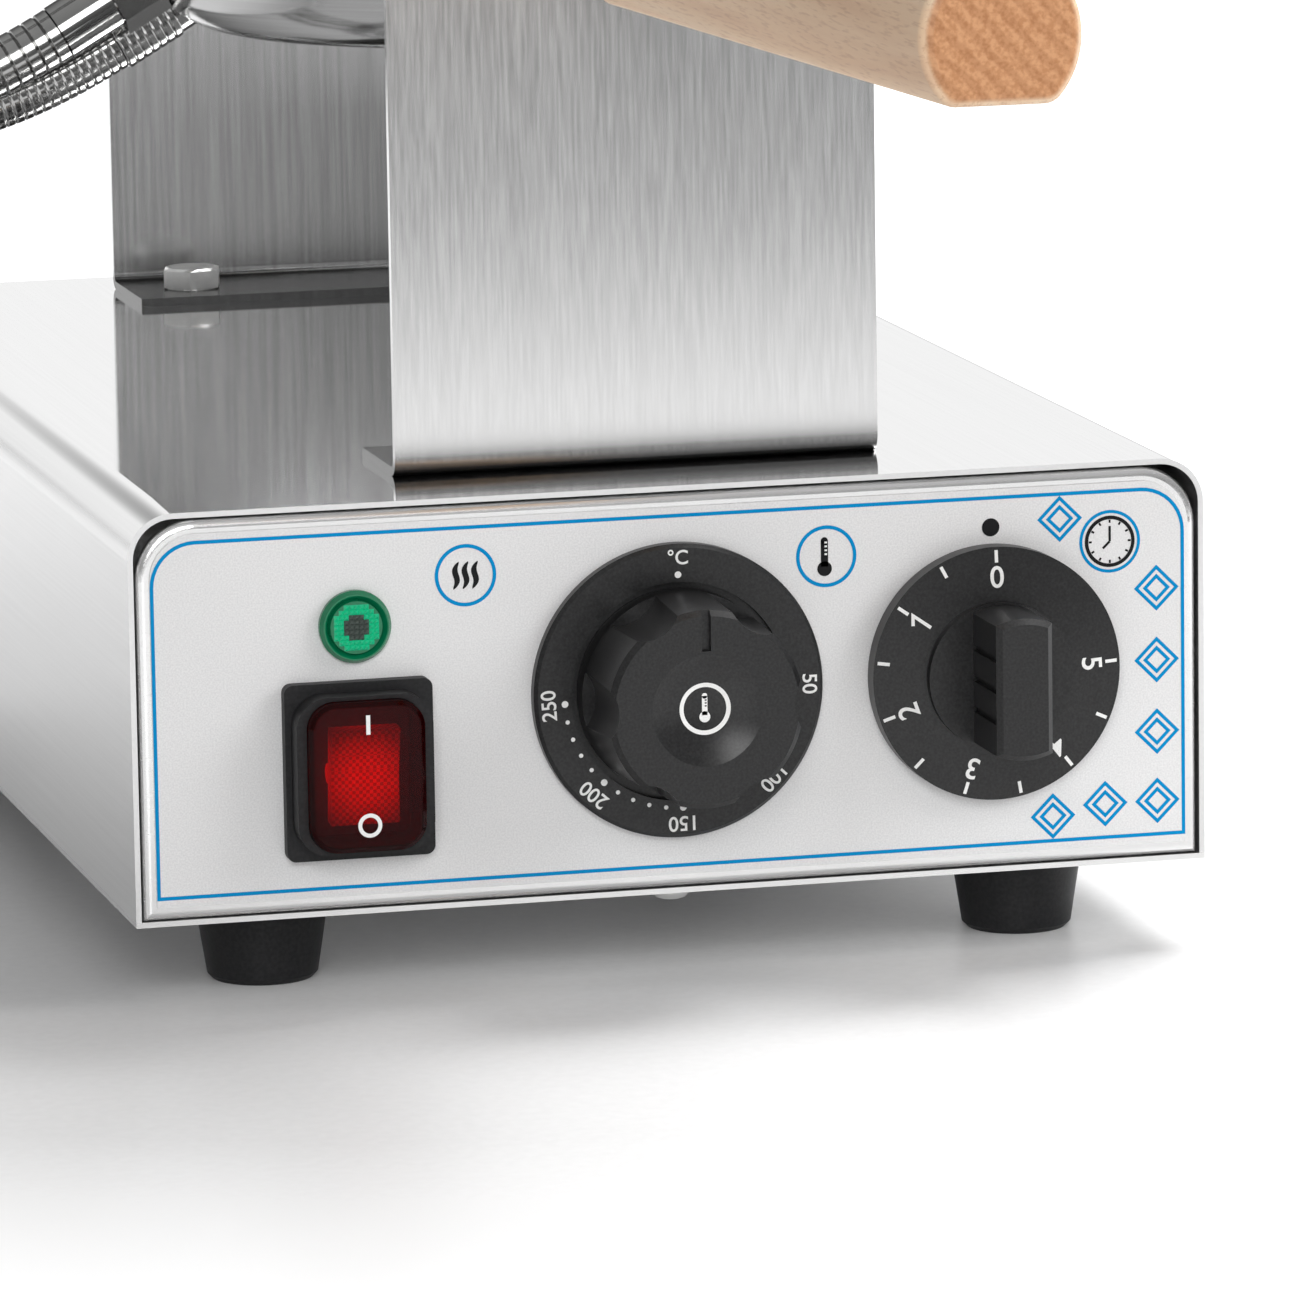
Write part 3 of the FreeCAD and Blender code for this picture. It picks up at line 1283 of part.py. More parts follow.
def hose_two():
    return hose("hose_two", whole_route(hose_two_start(), HOSE_TWO_ROUTE, HOSE_TWO_BULGE))


PIECES = [
    housing_shell, front_panel, panel_overlay, rear_panel, bottom_plate, rubber_feet,
    front_upright, rear_upright, upright_bolts, upright_nuts, bearing_bush,
    lamp_lens, lamp_body, switch_frame, switch_window, power_rocker, switch_body,
    thermostat_dial, thermostat_knob, thermostat_spindle, thermostat_body,
    timer_knob, timer_spindle, timer_body,
    terminal_block, mains_inlet_gland, pan_cable_gland,
    pan_shaft, shaft_nut, shaft_grommet, pan_yoke, hinge_pin,
    lower_plate, lower_dome, lower_heater, lower_journal, lower_rod, lower_ferrule, lower_grip,
    lower_gland_nut, lower_hose_ferrules, hose_one, hose_two,
    upper_plate, upper_dome, upper_heater, upper_journal, upper_rod, upper_ferrule, upper_grip,
    upper_gland_nut, upper_hose_ferrules,
]

os.makedirs("parts", exist_ok=True)
for piece in PIECES:
    piece().exportStep("parts/" + piece.__name__ + ".step")
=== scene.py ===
import bpy
import math
from mathutils import Matrix, Vector

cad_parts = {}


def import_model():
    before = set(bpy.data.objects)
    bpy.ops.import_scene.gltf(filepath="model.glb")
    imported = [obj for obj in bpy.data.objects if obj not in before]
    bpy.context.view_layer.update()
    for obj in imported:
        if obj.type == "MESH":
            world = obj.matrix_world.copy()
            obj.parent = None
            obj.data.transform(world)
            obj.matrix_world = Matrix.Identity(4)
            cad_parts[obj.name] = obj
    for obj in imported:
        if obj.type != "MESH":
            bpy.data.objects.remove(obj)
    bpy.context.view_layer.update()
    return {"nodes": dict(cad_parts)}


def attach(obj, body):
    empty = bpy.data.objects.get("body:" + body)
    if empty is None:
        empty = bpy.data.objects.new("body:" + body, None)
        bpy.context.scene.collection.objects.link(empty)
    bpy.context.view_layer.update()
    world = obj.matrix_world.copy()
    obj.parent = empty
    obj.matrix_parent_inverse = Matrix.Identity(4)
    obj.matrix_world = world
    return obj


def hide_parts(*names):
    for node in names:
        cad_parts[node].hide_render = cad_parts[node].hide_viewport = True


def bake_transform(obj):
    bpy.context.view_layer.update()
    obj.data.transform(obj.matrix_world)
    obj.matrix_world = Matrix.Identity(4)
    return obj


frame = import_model()
NODES = frame["nodes"]
MM = 0.001

# Places on the machine, in millimetres: X right, Y back, Z up
PANEL_Y = -65.0
FACE_Y = -65.4
REAR_Y = 305.0
BASE_BOTTOM = 20.2
BOTTOM_UNDERSIDE = 19.0
BASE_TOP = 108.7
AXIS_Z = 246.7
PAN_Y = 125.0
UPRIGHT_SHEET = 2.0

# Controls: X, and Z above the box's bottom
LAMP = (-71.0, 62.0)
SWITCH = (-71.0, 31.0)
THERMOSTAT = (0.0, 44.0)
TIMER = (71.0, 44.0)

# How far the controls stand out from the panel, and the shape of their faces
LAMP_OUT = 2.4
WINDOW_OUT = 12.0
DIAL_OUT = 3.2
KNOB_OUT = 27.0
DISH_RADIUS = 12.2
DISH_DEPTH = 2.6
SKIRT_RADIUS = 28.0
SKIRT_OUT = 5.0
SKIRT_HUB_RADIUS = 16.2
SKIRT_RISE = 1.2

# Hoses: the lower half of each route, as X and Z from the ferrule's end, and its bulge to the left
HOSE_ONE_START = (-96.41, PAN_Y, AXIS_Z - 55.5)
HOSE_ONE_ROUTE = [(0.0, 0.0), (-20.8, -12.0), (-50.3, -17.2), (-87.0, -7.4), (-113.9, 19.5)]
HOSE_ONE_BULGE = 123.4
HOSE_ONE_PITCH = 3.4
HOSE_TWO_START = (-79.6, PAN_Y + 20.0, AXIS_Z - 60.5)
HOSE_TWO_ROUTE = [(0.0, 0.0), (-20.8, -12.0), (-52.3, -17.6), (-90.9, -7.3), (-119.2, 21.0)]
HOSE_TWO_BULGE = 129.5
HOSE_TWO_PITCH = 2.2
HOSE_RADIUS = 6.5
HOSE_RIB = 0.42
HOSE_SIDES = 32
RIB_SHAPE = (0.0, 1.0, 1.0, 1.0, 1.0, 1.0, 1.0, 1.0)
RINGS_PER_RIB = len(RIB_SHAPE)
ROUTE_DETAIL = 64
GLAND_ANGLE = math.radians(30.0)
SLEEVE_RADIUS = 6.74
SLEEVE_LENGTH = 15.0

# Bolts of the uprights
BOLT_X = 38.5
BOLT_YS = (-16.5, 264.5)
BOLT_TURN = math.radians(-104)
BOLT_SIDES = 24
BOLT_RADIUS = 4.0
BOLT_TAIL = 9.7
BOLT_FACE_RADIUS = 6.2
BOLT_FACE_RISE = 0.4
BOLT_FLAT_RADIUS = 6.7
BOLT_HEAD_HEIGHT = 5.3
BOLT_CHAMFER = 0.6

# Screws under the bottom plate: profile as radius and depth
SCREW_SIDE = 113.5
SCREW_END_INSET = 7.0
SCREW_SIDE_INSET = 27.0
SCREW_STEPS = 28
SCREW_PROFILE = [(4.2, 0.0), (4.2, 0.8), (3.6, 1.9), (2.4, 2.4), (1.2, 2.4), (1.0, 1.4), (0.01, 1.4)]
CLOSED_RADIUS = 0.01

# Prints on the panel: places as X, and Z above the box's bottom
PRINT_LIFT = 0.06
RING_STEPS = 48
BORDER_SIDE = 115.0
BORDER_BOTTOM = 5.0
BORDER_TOP = 82.0
BORDER_CORNER = 9.5
BORDER_LINE = 0.8
CORNER_STEPS = 10
ICON_RADIUS = 6.4
ICON_LINE = 0.8
HEAT_ICON = (-46.3, 71.6)
HEAT_PITCH = 2.1
HEAT_HEIGHT = 6.0
HEAT_SWAY = 0.5
HEAT_LEAN = 1.2
HEAT_HALF = 0.62
HEAT_TIP = 0.05
HEAT_STEPS = 16
THERMOMETER_RING = (34.1, 71.2)
THERMOMETER_ICON = (33.7, 70.9)
THERMOMETER_SIZE = 3.9
CLOCK_ICON = (98.4, 70.9)
CLOCK_RING_RADIUS = 6.6
CLOCK_RING_LINE = 0.7
CLOCK_FACE_RADIUS = 5.3
CLOCK_FACE_LINE = 0.8
CLOCK_HANDS = [(0.0, 3.4), (-1.6, -1.5)]
CLOCK_HAND_LINE = 0.55
CLOCK_TICK_FROM = 4.1
CLOCK_TICK_TO = 4.8
CLOCK_TICK_LINE = 0.45
CLOCK_HOURS = 12
DIAMONDS = [
    (87.0, 76.5), (109.0, 60.0), (109.0, 44.0), (109.0, 28.0), (109.0, 12.5), (97.0, 12.5), (85.0, 10.5),
]
DIAMOND_REACHES = (4.6, 2.6)
DIAMOND_LINE = 0.75
TIMER_DOT = (71.3, 75.5)
TIMER_DOT_RADIUS = 2.0

# Shares of a thermometer's size
BULB_DROP = 0.62
BULB_RADIUS = 0.42
STEM_DROP = 0.5
STEM_RISE = 0.95
STEM_WIDTH = 0.42
STEM_CAP_STEPS = 20
STEM_MARKS = (0.2, 0.42, 0.64, 0.86)
STEM_MARK_LENGTH = 0.15
STEM_MARK_LINE = 0.1

# Scales of the two controls: figures with their turn in degrees clockwise from the top
LETTER_BOLDNESS = 0.012
DIAL_NUMBERS = {"50": 90.0, "100": 134.0, "150": 179.0, "200": 222.0, "250": 267.0}
DIAL_NUMBERS_AT = 29.0
DIAL_NUMBER_SIZE = 4.6
DIAL_UNIT_AT = 29.2
DIAL_UNIT_SIZE = 4.4
DIAL_DOTS_AT = 25.6
DIAL_DOT = 0.75
DIAL_DOT_STEPS = 16
DIAL_SMALL_DOT = 0.48
DIAL_SMALL_DOT_STEPS = 14
DIAL_SPACES = 5
TIMER_STEP = -27.3
TIMER_TICKS = 11
TIMER_TICK_FROM = 24.6
TIMER_TICK_TO = 27.3
TIMER_LINE = 0.75
TIMER_FIGURES_AT = 21.2
TIMER_FIGURE_SIZE = 6.6
TIMER_ONE_TICK = 2
TIMER_ONE_STROKES = [(-1.5, 1.1), (0.35, 2.4), (0.35, -2.4)]

# Marks on the thermostat's knob and the switch, and the lamp's facets
KNOB_RING_RADIUS = 5.2
KNOB_RING_LINE = 0.95
KNOB_THERMOMETER_SIZE = 2.9
KNOB_THERMOMETER_LIFT = 4 * PRINT_LIFT
SWITCH_BAR_FROM = 9.4
SWITCH_BAR_TO = 13.6
SWITCH_BAR_LINE = 0.9
SWITCH_RING_DROP = 10.4
SWITCH_RING_RADIUS = 2.2
SWITCH_RING_LINE = 0.85
SWITCH_RING_STEPS = 36
FACET_PITCH = 1.1
FACET_REACH = 5.5
FACET_RISE = 0.55
FACET_INNER = 2.9

# Colours, and the stops that the noises of a material run through
PANEL_BLUE = (0.0, 0.26, 0.58)
INK_BLACK = (0.012, 0.012, 0.013)
INK_WHITE = (0.86, 0.86, 0.85)
WHITE = (1, 1, 1)
BLACK = (0, 0, 0)
BRUSHING_SPAN = (0.3, 0.7)
SPOT_SPAN = (0.35, 0.65)
GRAIN_SPAN = (0.35, 0.68)
# The uprights' painted shade: a dark painted foot, then painted shade and highlight levels up the plate
# over this height
UPRIGHT_PAINTED_SHADE_HEIGHT = 120.0
UPRIGHT_ROUGH = (0.22, 0.26)
UPRIGHT_PAINTED_SHADE_STOPS = (0.017, 0.0375, 0.5, 1.0)
UPRIGHT_FOOT_PAINTED_SHADE = 0.2
HOUSING_TONES = (0.80, 0.84)
# Painted shade: the housing's colour is darker on its sides than on top, by how far the surface faces up
HOUSING_PAINTED_SIDE_SHADE = [(0.2, 0.9), (0.9, 1.0)]
HOUSING_ROUGH = [(0.25, 0.34), (0.55, 0.06)]
BEECH_SIDE = [(0.3, (0.84, 0.54, 0.34)), (0.52, (0.97, 0.69, 0.46)), (0.75, (1.0, 0.79, 0.58))]
BEECH_FLECKS = [(0.34, (0.60, 0.44, 0.34)), (0.47, WHITE)]
BEECH_FLECK_SHARE = 0.35
BEECH_PORES = [(0.35, (0.56, 0.26, 0.115)), (0.6, (0.70, 0.36, 0.18))]
BEECH_RINGS = [(0.2, (0.8, 0.74, 0.68)), (0.7, WHITE)]
BEECH_RING_SHARE = 0.8
BEECH_END_FACING = [(0.75, BLACK), (0.95, WHITE)]
ROCKER_GRID = [(0.0, (0.45, 0.001, 0.002)), (1.0, (0.90, 0.006, 0.006))]
ROCKER_GRID_SCALE = 1300.0
ROCKER_GLOW = [(0.55, 1.0), (1.0, 0.12)]
ROCKER_GLOW_REACH = 14.0
ROCKER_GLOW_STRENGTH = 2.2

# Camera, solved from the box's edges in the photograph
CAMERA_AT = (-482.65, -1950.21, 421.91)
CAMERA_RIGHT = (0.96867, -0.24791, -0.01492)
CAMERA_UP = (0.05802, 0.16747, 0.98417)
CAMERA_FORWARD = (0.24148, 0.95420, -0.17660)
CAMERA_LENS = 252.9
CAMERA_REACH = 50.0
SENSOR = 36.0

# Lamps in metres and watts: name, place, size, power, and whether metal mirrors the lamp
LAMP_TARGET = (0.0, 0.1, 0.15)
LAMPS = [
    ("light_above", (0.75, 0.5, 1.5), (0.8, 0.8), 31.0, True),
    ("light_right", (1.6, -0.9, 1.0), (0.9, 1.2), 20.0, False),
    ("light_front", (-0.5, -2.1, 1.0), (1.0, 1.0), 23.5, True),
]

# World: what metal mirrors behind and in front of the machine, by height, and the light all round
WORLD_BEHIND = [(0.44, 0.22), (0.52, 0.97), (0.605, 1.0), (0.635, 0.12), (0.72, 0.15), (0.95, 0.7)]
WORLD_BEFORE = [(0.44, 0.16), (0.55, 0.32), (0.95, 0.62)]
WORLD_REARWARDS = [(0.1, BLACK), (0.6, WHITE)]
WORLD_FILL = (0.13, 0.13, 0.133, 1)

# Table: its reach, and how it fades to white away from the machine
TABLE_SIDE = 2500.0
TABLE_FRONT = -950.0
TABLE_BACK = 2500.0
TABLE_MIDDLE_Y = 130.0
TABLE_TONES = (0.84, 0.88)
TABLE_FADE = [(0.34, 0.02), (0.51, 0.5), (0.76, 1.0)]
TABLE_FAR = (0.5, 0.5, 0.5, 1)
TABLE_MIRRORED = 0.9


# Meshes
def mesh_object(name, verts, faces, material, smooth=False):
    """A mesh from points in millimetres."""
    mesh = bpy.data.meshes.new(name)
    mesh.from_pydata([tuple(c * MM for c in v) for v in verts], [], faces)
    mesh.update()
    for polygon in mesh.polygons:
        polygon.use_smooth = smooth
    mesh.materials.append(material)
    obj = bpy.data.objects.new(name, mesh)
    bpy.context.collection.objects.link(obj)
    return obj


def place(obj, body):
    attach(obj, body)
    return obj


def curve_mesh(name, curve):
    """The mesh of a curve, which isn't kept itself."""
    holder = bpy.data.objects.new(name, curve)
    bpy.context.collection.objects.link(holder)
    bpy.context.view_layer.update()
    mesh = bpy.data.meshes.new_from_object(holder.evaluated_get(bpy.context.evaluated_depsgraph_get()))
    bpy.data.objects.remove(holder)
    return mesh


def ribbon(points, width, closed):
    """Points and faces of a flat line of even width in a plane facing the front; points are X and Z."""
    count = len(points)
    verts = []
    for i, (x, z) in enumerate(points):
        before = points[i - 1] if closed or i > 0 else points[i]
        after = points[(i + 1) % count] if closed or i < count - 1 else points[i]
        back = Vector((x - before[0], z - before[1]))
        ahead = Vector((after[0] - x, after[1] - z))
        back = back.normalized() if back.length > 0 else ahead.normalized()
        ahead = ahead.normalized() if ahead.length > 0 else back
        along = (back + ahead).normalized()
        side = Vector((-along.y, along.x)) * (width / 2 / max(0.5, along.dot(ahead)))
        verts.append((x + side.x, z + side.y))
        verts.append((x - side.x, z - side.y))
    last = count if closed else count - 1
    faces = []
    for i in range(last):
        j = (i + 1) % count
        faces.append((2 * i, 2 * i + 1, 2 * j + 1, 2 * j))
    return verts, faces


def arc(x, z, radius, start, end, steps):
    """Points on an arc, with angles in degrees clockwise from the top."""
    turns = [math.radians(start + (end - start) * i / steps) for i in range(steps + 1)]
    return [(x + radius * math.sin(a), z + radius * math.cos(a)) for a in turns]


def circle(x, z, radius, steps):
    return arc(x, z, radius, 0, 360, steps)[:-1]


def disc(x, z, radius, steps=40):
    points = circle(x, z, radius, steps)
    return points, [tuple(range(len(points)))]


def print_flat(name, pieces, out, material, body):
    """One printed layer from flat outlines; out is how far it stands before the panel, or a function."""
    verts, faces = [], []
    for points, polygons in pieces:
        first = len(verts)
        verts += [(x, FACE_Y - (out(x, z) if callable(out) else out), z) for x, z in points]
        faces += [tuple(first + i for i in polygon) for polygon in polygons]
    return place(mesh_object(name, verts, faces, material), body)


def turned(x, z, u, w, turn):
    """A point at u across and w up from a place, on axes turned clockwise by degrees."""
    a = math.radians(turn)
    return x + u * math.cos(a) + w * math.sin(a), z - u * math.sin(a) + w * math.cos(a)


def words(name, text, size, x, z, turn, out, material, body):
    """Lettering facing the front, centred on a point and turned clockwise by degrees."""
    curve = bpy.data.curves.new(name, "FONT")
    curve.body = text
    curve.size = size
    curve.align_x = "CENTER"
    curve.align_y = "CENTER"
    curve.offset = size * LETTER_BOLDNESS
    flat = curve_mesh(name + "_line", curve)
    points = [turned(x, z, v.co.x, v.co.y, turn) for v in flat.vertices]
    faces = [tuple(p.vertices) for p in flat.polygons]
    print_flat(name, [(points, faces)], out, material, body)


def lathe(name, profile, centre, axis, radial, material, steps=48):
    """A turned mesh from points given as radius and distance along the axis."""
    axis = Vector(axis)
    radial = Vector(radial)
    other = axis.cross(radial)
    verts, faces = [], []
    for i in range(steps):
        a = 2 * math.pi * i / steps
        outwards = radial * math.cos(a) + other * math.sin(a)
        verts += [tuple(Vector(centre) + outwards * r + axis * d) for r, d in profile]
    count = len(profile)
    for i in range(steps):
        j = (i + 1) % steps
        for k in range(count - 1):
            faces.append((i * count + k, j * count + k, j * count + k + 1, i * count + k + 1))
    return mesh_object(name, verts, faces, material, smooth=True)


# Shader nodes
def new_material(name, metallic=0.0):
    material = bpy.data.materials.new(name)
    material.use_nodes = True
    tree = material.node_tree
    shader = tree.nodes["Principled BSDF"]
    shader.inputs["Metallic"].default_value = metallic
    return material, tree, shader


def node(tree, kind, **values):
    made = tree.nodes.new(kind)
    for key, value in values.items():
        if key in made.inputs:
            made.inputs[key].default_value = value
        else:
            setattr(made, key, value)
    return made


def object_place(tree):
    return node(tree, "ShaderNodeTexCoord").outputs["Object"]


def stretched_noise(tree, stretch, scale, detail=4.0):
    """Noise on object coordinates in metres, stretched along the axes."""
    mapping = node(tree, "ShaderNodeMapping")
    mapping.inputs["Scale"].default_value = stretch
    noise = node(tree, "ShaderNodeTexNoise", Scale=scale, Detail=detail)
    tree.links.new(object_place(tree), mapping.inputs["Vector"])
    tree.links.new(mapping.outputs["Vector"], noise.inputs["Vector"])
    return noise.outputs["Fac"]


def ramp(tree, source, stops):
    """Colours along a value."""
    made = node(tree, "ShaderNodeValToRGB")
    while len(made.color_ramp.elements) < len(stops):
        made.color_ramp.elements.new(0.5)
    for element, (position, colour) in zip(made.color_ramp.elements, stops):
        element.position = position
        element.color = (*colour, 1)
    tree.links.new(source, made.inputs["Fac"])
    return made.outputs["Color"]


def grey_ramp(tree, source, stops):
    """Greys along a value; stops are positions and levels."""
    return ramp(tree, source, [(position, (level,) * 3) for position, level in stops])


def separate(tree, source):
    parts = node(tree, "ShaderNodeSeparateXYZ")
    tree.links.new(source, parts.inputs["Vector"])
    return parts.outputs


def normal_parts(tree):
    return separate(tree, node(tree, "ShaderNodeNewGeometry").outputs["Normal"])


def scaled(tree, source, factor, plus=0.0):
    """A value times a factor, plus an amount."""
    made = node(tree, "ShaderNodeMath", operation="MULTIPLY_ADD")
    made.inputs[1].default_value = factor
    made.inputs[2].default_value = plus
    tree.links.new(source, made.inputs[0])
    return made.outputs["Value"]


def combined(tree, operation, first, second):
    """One value worked out from two."""
    made = node(tree, "ShaderNodeMath", operation=operation)
    tree.links.new(first, made.inputs[0])
    tree.links.new(second, made.inputs[1])
    return made.outputs["Value"]


def multiplied(tree, first, second, share=1.0):
    """A colour times another, with the second one's share."""
    made = node(tree, "ShaderNodeMixRGB", blend_type="MULTIPLY", Fac=share)
    tree.links.new(first, made.inputs["Color1"])
    tree.links.new(second, made.inputs["Color2"])
    return made.outputs["Color"]


def mixed(tree, share, first, second):
    """A mix of two colours, each either fixed or from another node."""
    made = node(tree, "ShaderNodeMixRGB")
    tree.links.new(share, made.inputs["Fac"])
    for key, colour in (("Color1", first), ("Color2", second)):
        if isinstance(colour, tuple):
            made.inputs[key].default_value = colour
        else:
            tree.links.new(colour, made.inputs[key])
    return made.outputs["Color"]


def bump(tree, shader, source, strength, distance):
    made = node(tree, "ShaderNodeBump", Strength=strength, Distance=distance * MM)
    tree.links.new(source, made.inputs["Height"])
    tree.links.new(made.outputs["Normal"], shader.inputs["Normal"])


# Materials
def brushed_steel(name, tone, stretch, rough, depth, contrast):
    """Steel with fine brushing along the axis that has the small stretch."""
    material, tree, shader = new_material(name, 1.0)
    noise = stretched_noise(tree, stretch, 1.0)
    tones = (tone * (1 - contrast), tone * (1 + contrast))
    shade = grey_ramp(tree, noise, list(zip(BRUSHING_SPAN, tones)))
    tree.links.new(shade, shader.inputs["Base Color"])
    tree.links.new(grey_ramp(tree, noise, list(zip(BRUSHING_SPAN, rough))), shader.inputs["Roughness"])
    bump(tree, shader, noise, 0.06, depth)
    return material


def upright_steel(name, tone, stretch, contrast, painted_shades):
    """Fine upright brushing, with a painted shade that darkens the foot on the box, and painted shade and
    highlight in three levels up the plate.
    """
    material = brushed_steel(name, tone, stretch, UPRIGHT_ROUGH, 0.002, contrast)
    tree = material.node_tree
    shader = tree.nodes["Principled BSDF"]
    brushed = shader.inputs["Base Color"].links[0].from_socket
    level = separate(tree, object_place(tree))["Z"]
    height = scaled(tree, level, 1 / (UPRIGHT_PAINTED_SHADE_HEIGHT * MM), -BASE_TOP / UPRIGHT_PAINTED_SHADE_HEIGHT)
    shade = grey_ramp(tree, height, list(zip(UPRIGHT_PAINTED_SHADE_STOPS, (UPRIGHT_FOOT_PAINTED_SHADE, *painted_shades))))
    tree.links.new(multiplied(tree, brushed, shade), shader.inputs["Base Color"])
    return material


def housing_steel():
    """Sheet that is polished on top and satin on its sides, with a painted shade that makes the sides'
    colour darker than the top.
    """
    material, tree, shader = new_material("housing_steel", 1.0)
    noise = stretched_noise(tree, (1400, 9, 1400), 1.0)
    shade = grey_ramp(tree, noise, list(zip(BRUSHING_SPAN, HOUSING_TONES)))
    upward = normal_parts(tree)["Z"]
    side_shaded = multiplied(tree, shade, grey_ramp(tree, upward, HOUSING_PAINTED_SIDE_SHADE))
    tree.links.new(side_shaded, shader.inputs["Base Color"])
    tree.links.new(grey_ramp(tree, upward, HOUSING_ROUGH), shader.inputs["Roughness"])
    bump(tree, shader, noise, 0.08, 0.004)
    return material


def polished(name, tone, rough, scale=30.0):
    """Bright metal with faint uneven spots."""
    material, tree, shader = new_material(name, 1.0)
    noise = stretched_noise(tree, (1, 1, 1), scale)
    low = tuple(c * 0.9 for c in tone)
    tree.links.new(ramp(tree, noise, list(zip(SPOT_SPAN, (low, tone)))), shader.inputs["Base Color"])
    spread = grey_ramp(tree, noise, list(zip(BRUSHING_SPAN, (rough, rough * 1.5))))
    tree.links.new(spread, shader.inputs["Roughness"])
    return material


def grained(name, low, high, rough, scale, depth, metallic=0.0, sheen=0.5):
    """A matt surface with fine grain in its colour and its relief."""
    material, tree, shader = new_material(name, metallic)
    shader.inputs["Specular IOR Level"].default_value = sheen
    shader.inputs["Roughness"].default_value = rough
    noise = stretched_noise(tree, (1, 1, 1), scale, 6.0)
    tree.links.new(ramp(tree, noise, list(zip(GRAIN_SPAN, (low, high)))), shader.inputs["Base Color"])
    bump(tree, shader, noise, 0.4, depth)
    return material


def ink(name, colour):
    return grained(name, tuple(c * 0.92 for c in colour), colour, 0.5, 2500, 0.004, sheen=0.1)


def beech():
    """Pale wood: long streaks, short dark flecks and darker end grain."""
    material, tree, shader = new_material("beech_wood")
    shader.inputs["Roughness"].default_value = 0.5
    streaks = stretched_noise(tree, (160, 5, 160), 1.0, 6.0)
    flecks = ramp(tree, stretched_noise(tree, (1500, 130, 1500), 1.0, 2.0), BEECH_FLECKS)
    side = multiplied(tree, ramp(tree, streaks, BEECH_SIDE), flecks, BEECH_FLECK_SHARE)
    facing = node(tree, "ShaderNodeMath", operation="ABSOLUTE")
    tree.links.new(normal_parts(tree)["Y"], facing.inputs[0])
    at_end = ramp(tree, facing.outputs["Value"], BEECH_END_FACING)
    tree.links.new(mixed(tree, at_end, side, end_grain(tree)), shader.inputs["Base Color"])
    bump(tree, shader, streaks, 0.25, 0.1)
    return material


def end_grain(tree):
    """The colour of the wood's cut ends: pores and slanting growth rings."""
    pores = ramp(tree, stretched_noise(tree, (1100, 1, 1100), 1.0, 3.0), BEECH_PORES)
    rings = node(tree, "ShaderNodeTexWave", Scale=130.0, Distortion=3.0, Detail=3.0)
    rings.bands_direction = "DIAGONAL"
    tree.links.new(object_place(tree), rings.inputs["Vector"])
    return multiplied(tree, pores, ramp(tree, rings.outputs["Fac"], BEECH_RINGS), BEECH_RING_SHARE)


def lens(name, colour, rough, transmission, glow=0.0, ior=1.45):
    """Clear coloured plastic, with a slight unevenness."""
    material, tree, shader = new_material(name)
    noise = stretched_noise(tree, (1, 1, 1), 400)
    low = tuple(c * 0.85 for c in colour)
    tree.links.new(ramp(tree, noise, list(zip(BRUSHING_SPAN, (low, colour)))), shader.inputs["Base Color"])
    shader.inputs["Roughness"].default_value = rough
    shader.inputs["Transmission Weight"].default_value = transmission
    shader.inputs["IOR"].default_value = ior
    if glow > 0:
        shader.inputs["Emission Color"].default_value = (*colour, 1)
        shader.inputs["Emission Strength"].default_value = glow
    return material


def gridded_red():
    """Lit red plastic with a fine square grid, brightest in the middle."""
    material, tree, shader = new_material("rocker_red")
    shader.inputs["Roughness"].default_value = 0.5
    spot = object_place(tree)
    checker = node(tree, "ShaderNodeTexChecker", Scale=ROCKER_GRID_SCALE)
    tree.links.new(spot, checker.inputs["Vector"])
    shade = ramp(tree, checker.outputs["Fac"], ROCKER_GRID)
    tree.links.new(shade, shader.inputs["Base Color"])
    tree.links.new(shade, shader.inputs["Emission Color"])
    height = (BASE_BOTTOM + SWITCH[1]) * MM
    middle = node(tree, "ShaderNodeCombineXYZ", X=SWITCH[0] * MM, Y=FACE_Y * MM, Z=height)
    away = node(tree, "ShaderNodeVectorMath", operation="DISTANCE")
    tree.links.new(spot, away.inputs[0])
    tree.links.new(middle.outputs["Vector"], away.inputs[1])
    glow = grey_ramp(tree, scaled(tree, away.outputs["Value"], 1 / (ROCKER_GLOW_REACH * MM)), ROCKER_GLOW)
    tree.links.new(scaled(tree, glow, ROCKER_GLOW_STRENGTH), shader.inputs["Emission Strength"])
    return material


STEEL = housing_steel()
# The last numbers are painted shade and highlight levels at the bottom, the middle and the top of each
# upright
UPRIGHT = upright_steel("upright_steel", 0.72, (1700, 1700, 90), 0.065, (1.1, 0.98, 1.2))
REAR_UPRIGHT = upright_steel("rear_upright_steel", 0.6, (900, 900, 25), 0.11, (0.82, 1.1, 1.5))
PANEL_STEEL = brushed_steel("panel_steel", 0.76, (8, 1500, 1500), (0.22, 0.28), 0.003, 0.03)
DOME = brushed_steel("dome_steel", 0.62, (20, 20, 1600), (0.10, 0.17), 0.004, 0.06)
CHROME = polished("bright_metal", (0.72, 0.72, 0.71), 0.1)
ROD_STEEL = polished("rod_metal", (0.40, 0.40, 0.395), 0.2, 200.0)
# Chrome for the gland nuts and hose ferrules, with its colour painted dark as a painted reflection of a
# dark room
DARK_REFLECTION_CHROME = polished("chrome_painted_dark_reflection", (0.30, 0.30, 0.295), 0.07, 60.0)
ZINC = polished("bolt_metal", (0.84, 0.84, 0.83), 0.32, 300.0)
HOSE_STEEL = polished("hose_metal", (0.34, 0.34, 0.335), 0.10, 200.0)
BRONZE = polished("bronze_metal", (0.62, 0.40, 0.17), 0.25)
IRON = grained("coated_iron", (0.030, 0.029, 0.028), (0.055, 0.053, 0.05), 0.42, 900, 0.05, 0.3)
SHEATH = polished("heater_metal", (0.33, 0.31, 0.29), 0.35)
FOIL = grained("panel_foil", (0.68, 0.68, 0.685), (0.80, 0.80, 0.80), 0.42, 2600, 0.01)
RUBBER = grained("black_rubber", (0.008, 0.008, 0.009), (0.016, 0.016, 0.017), 0.5, 1200, 0.04, sheen=0.28)
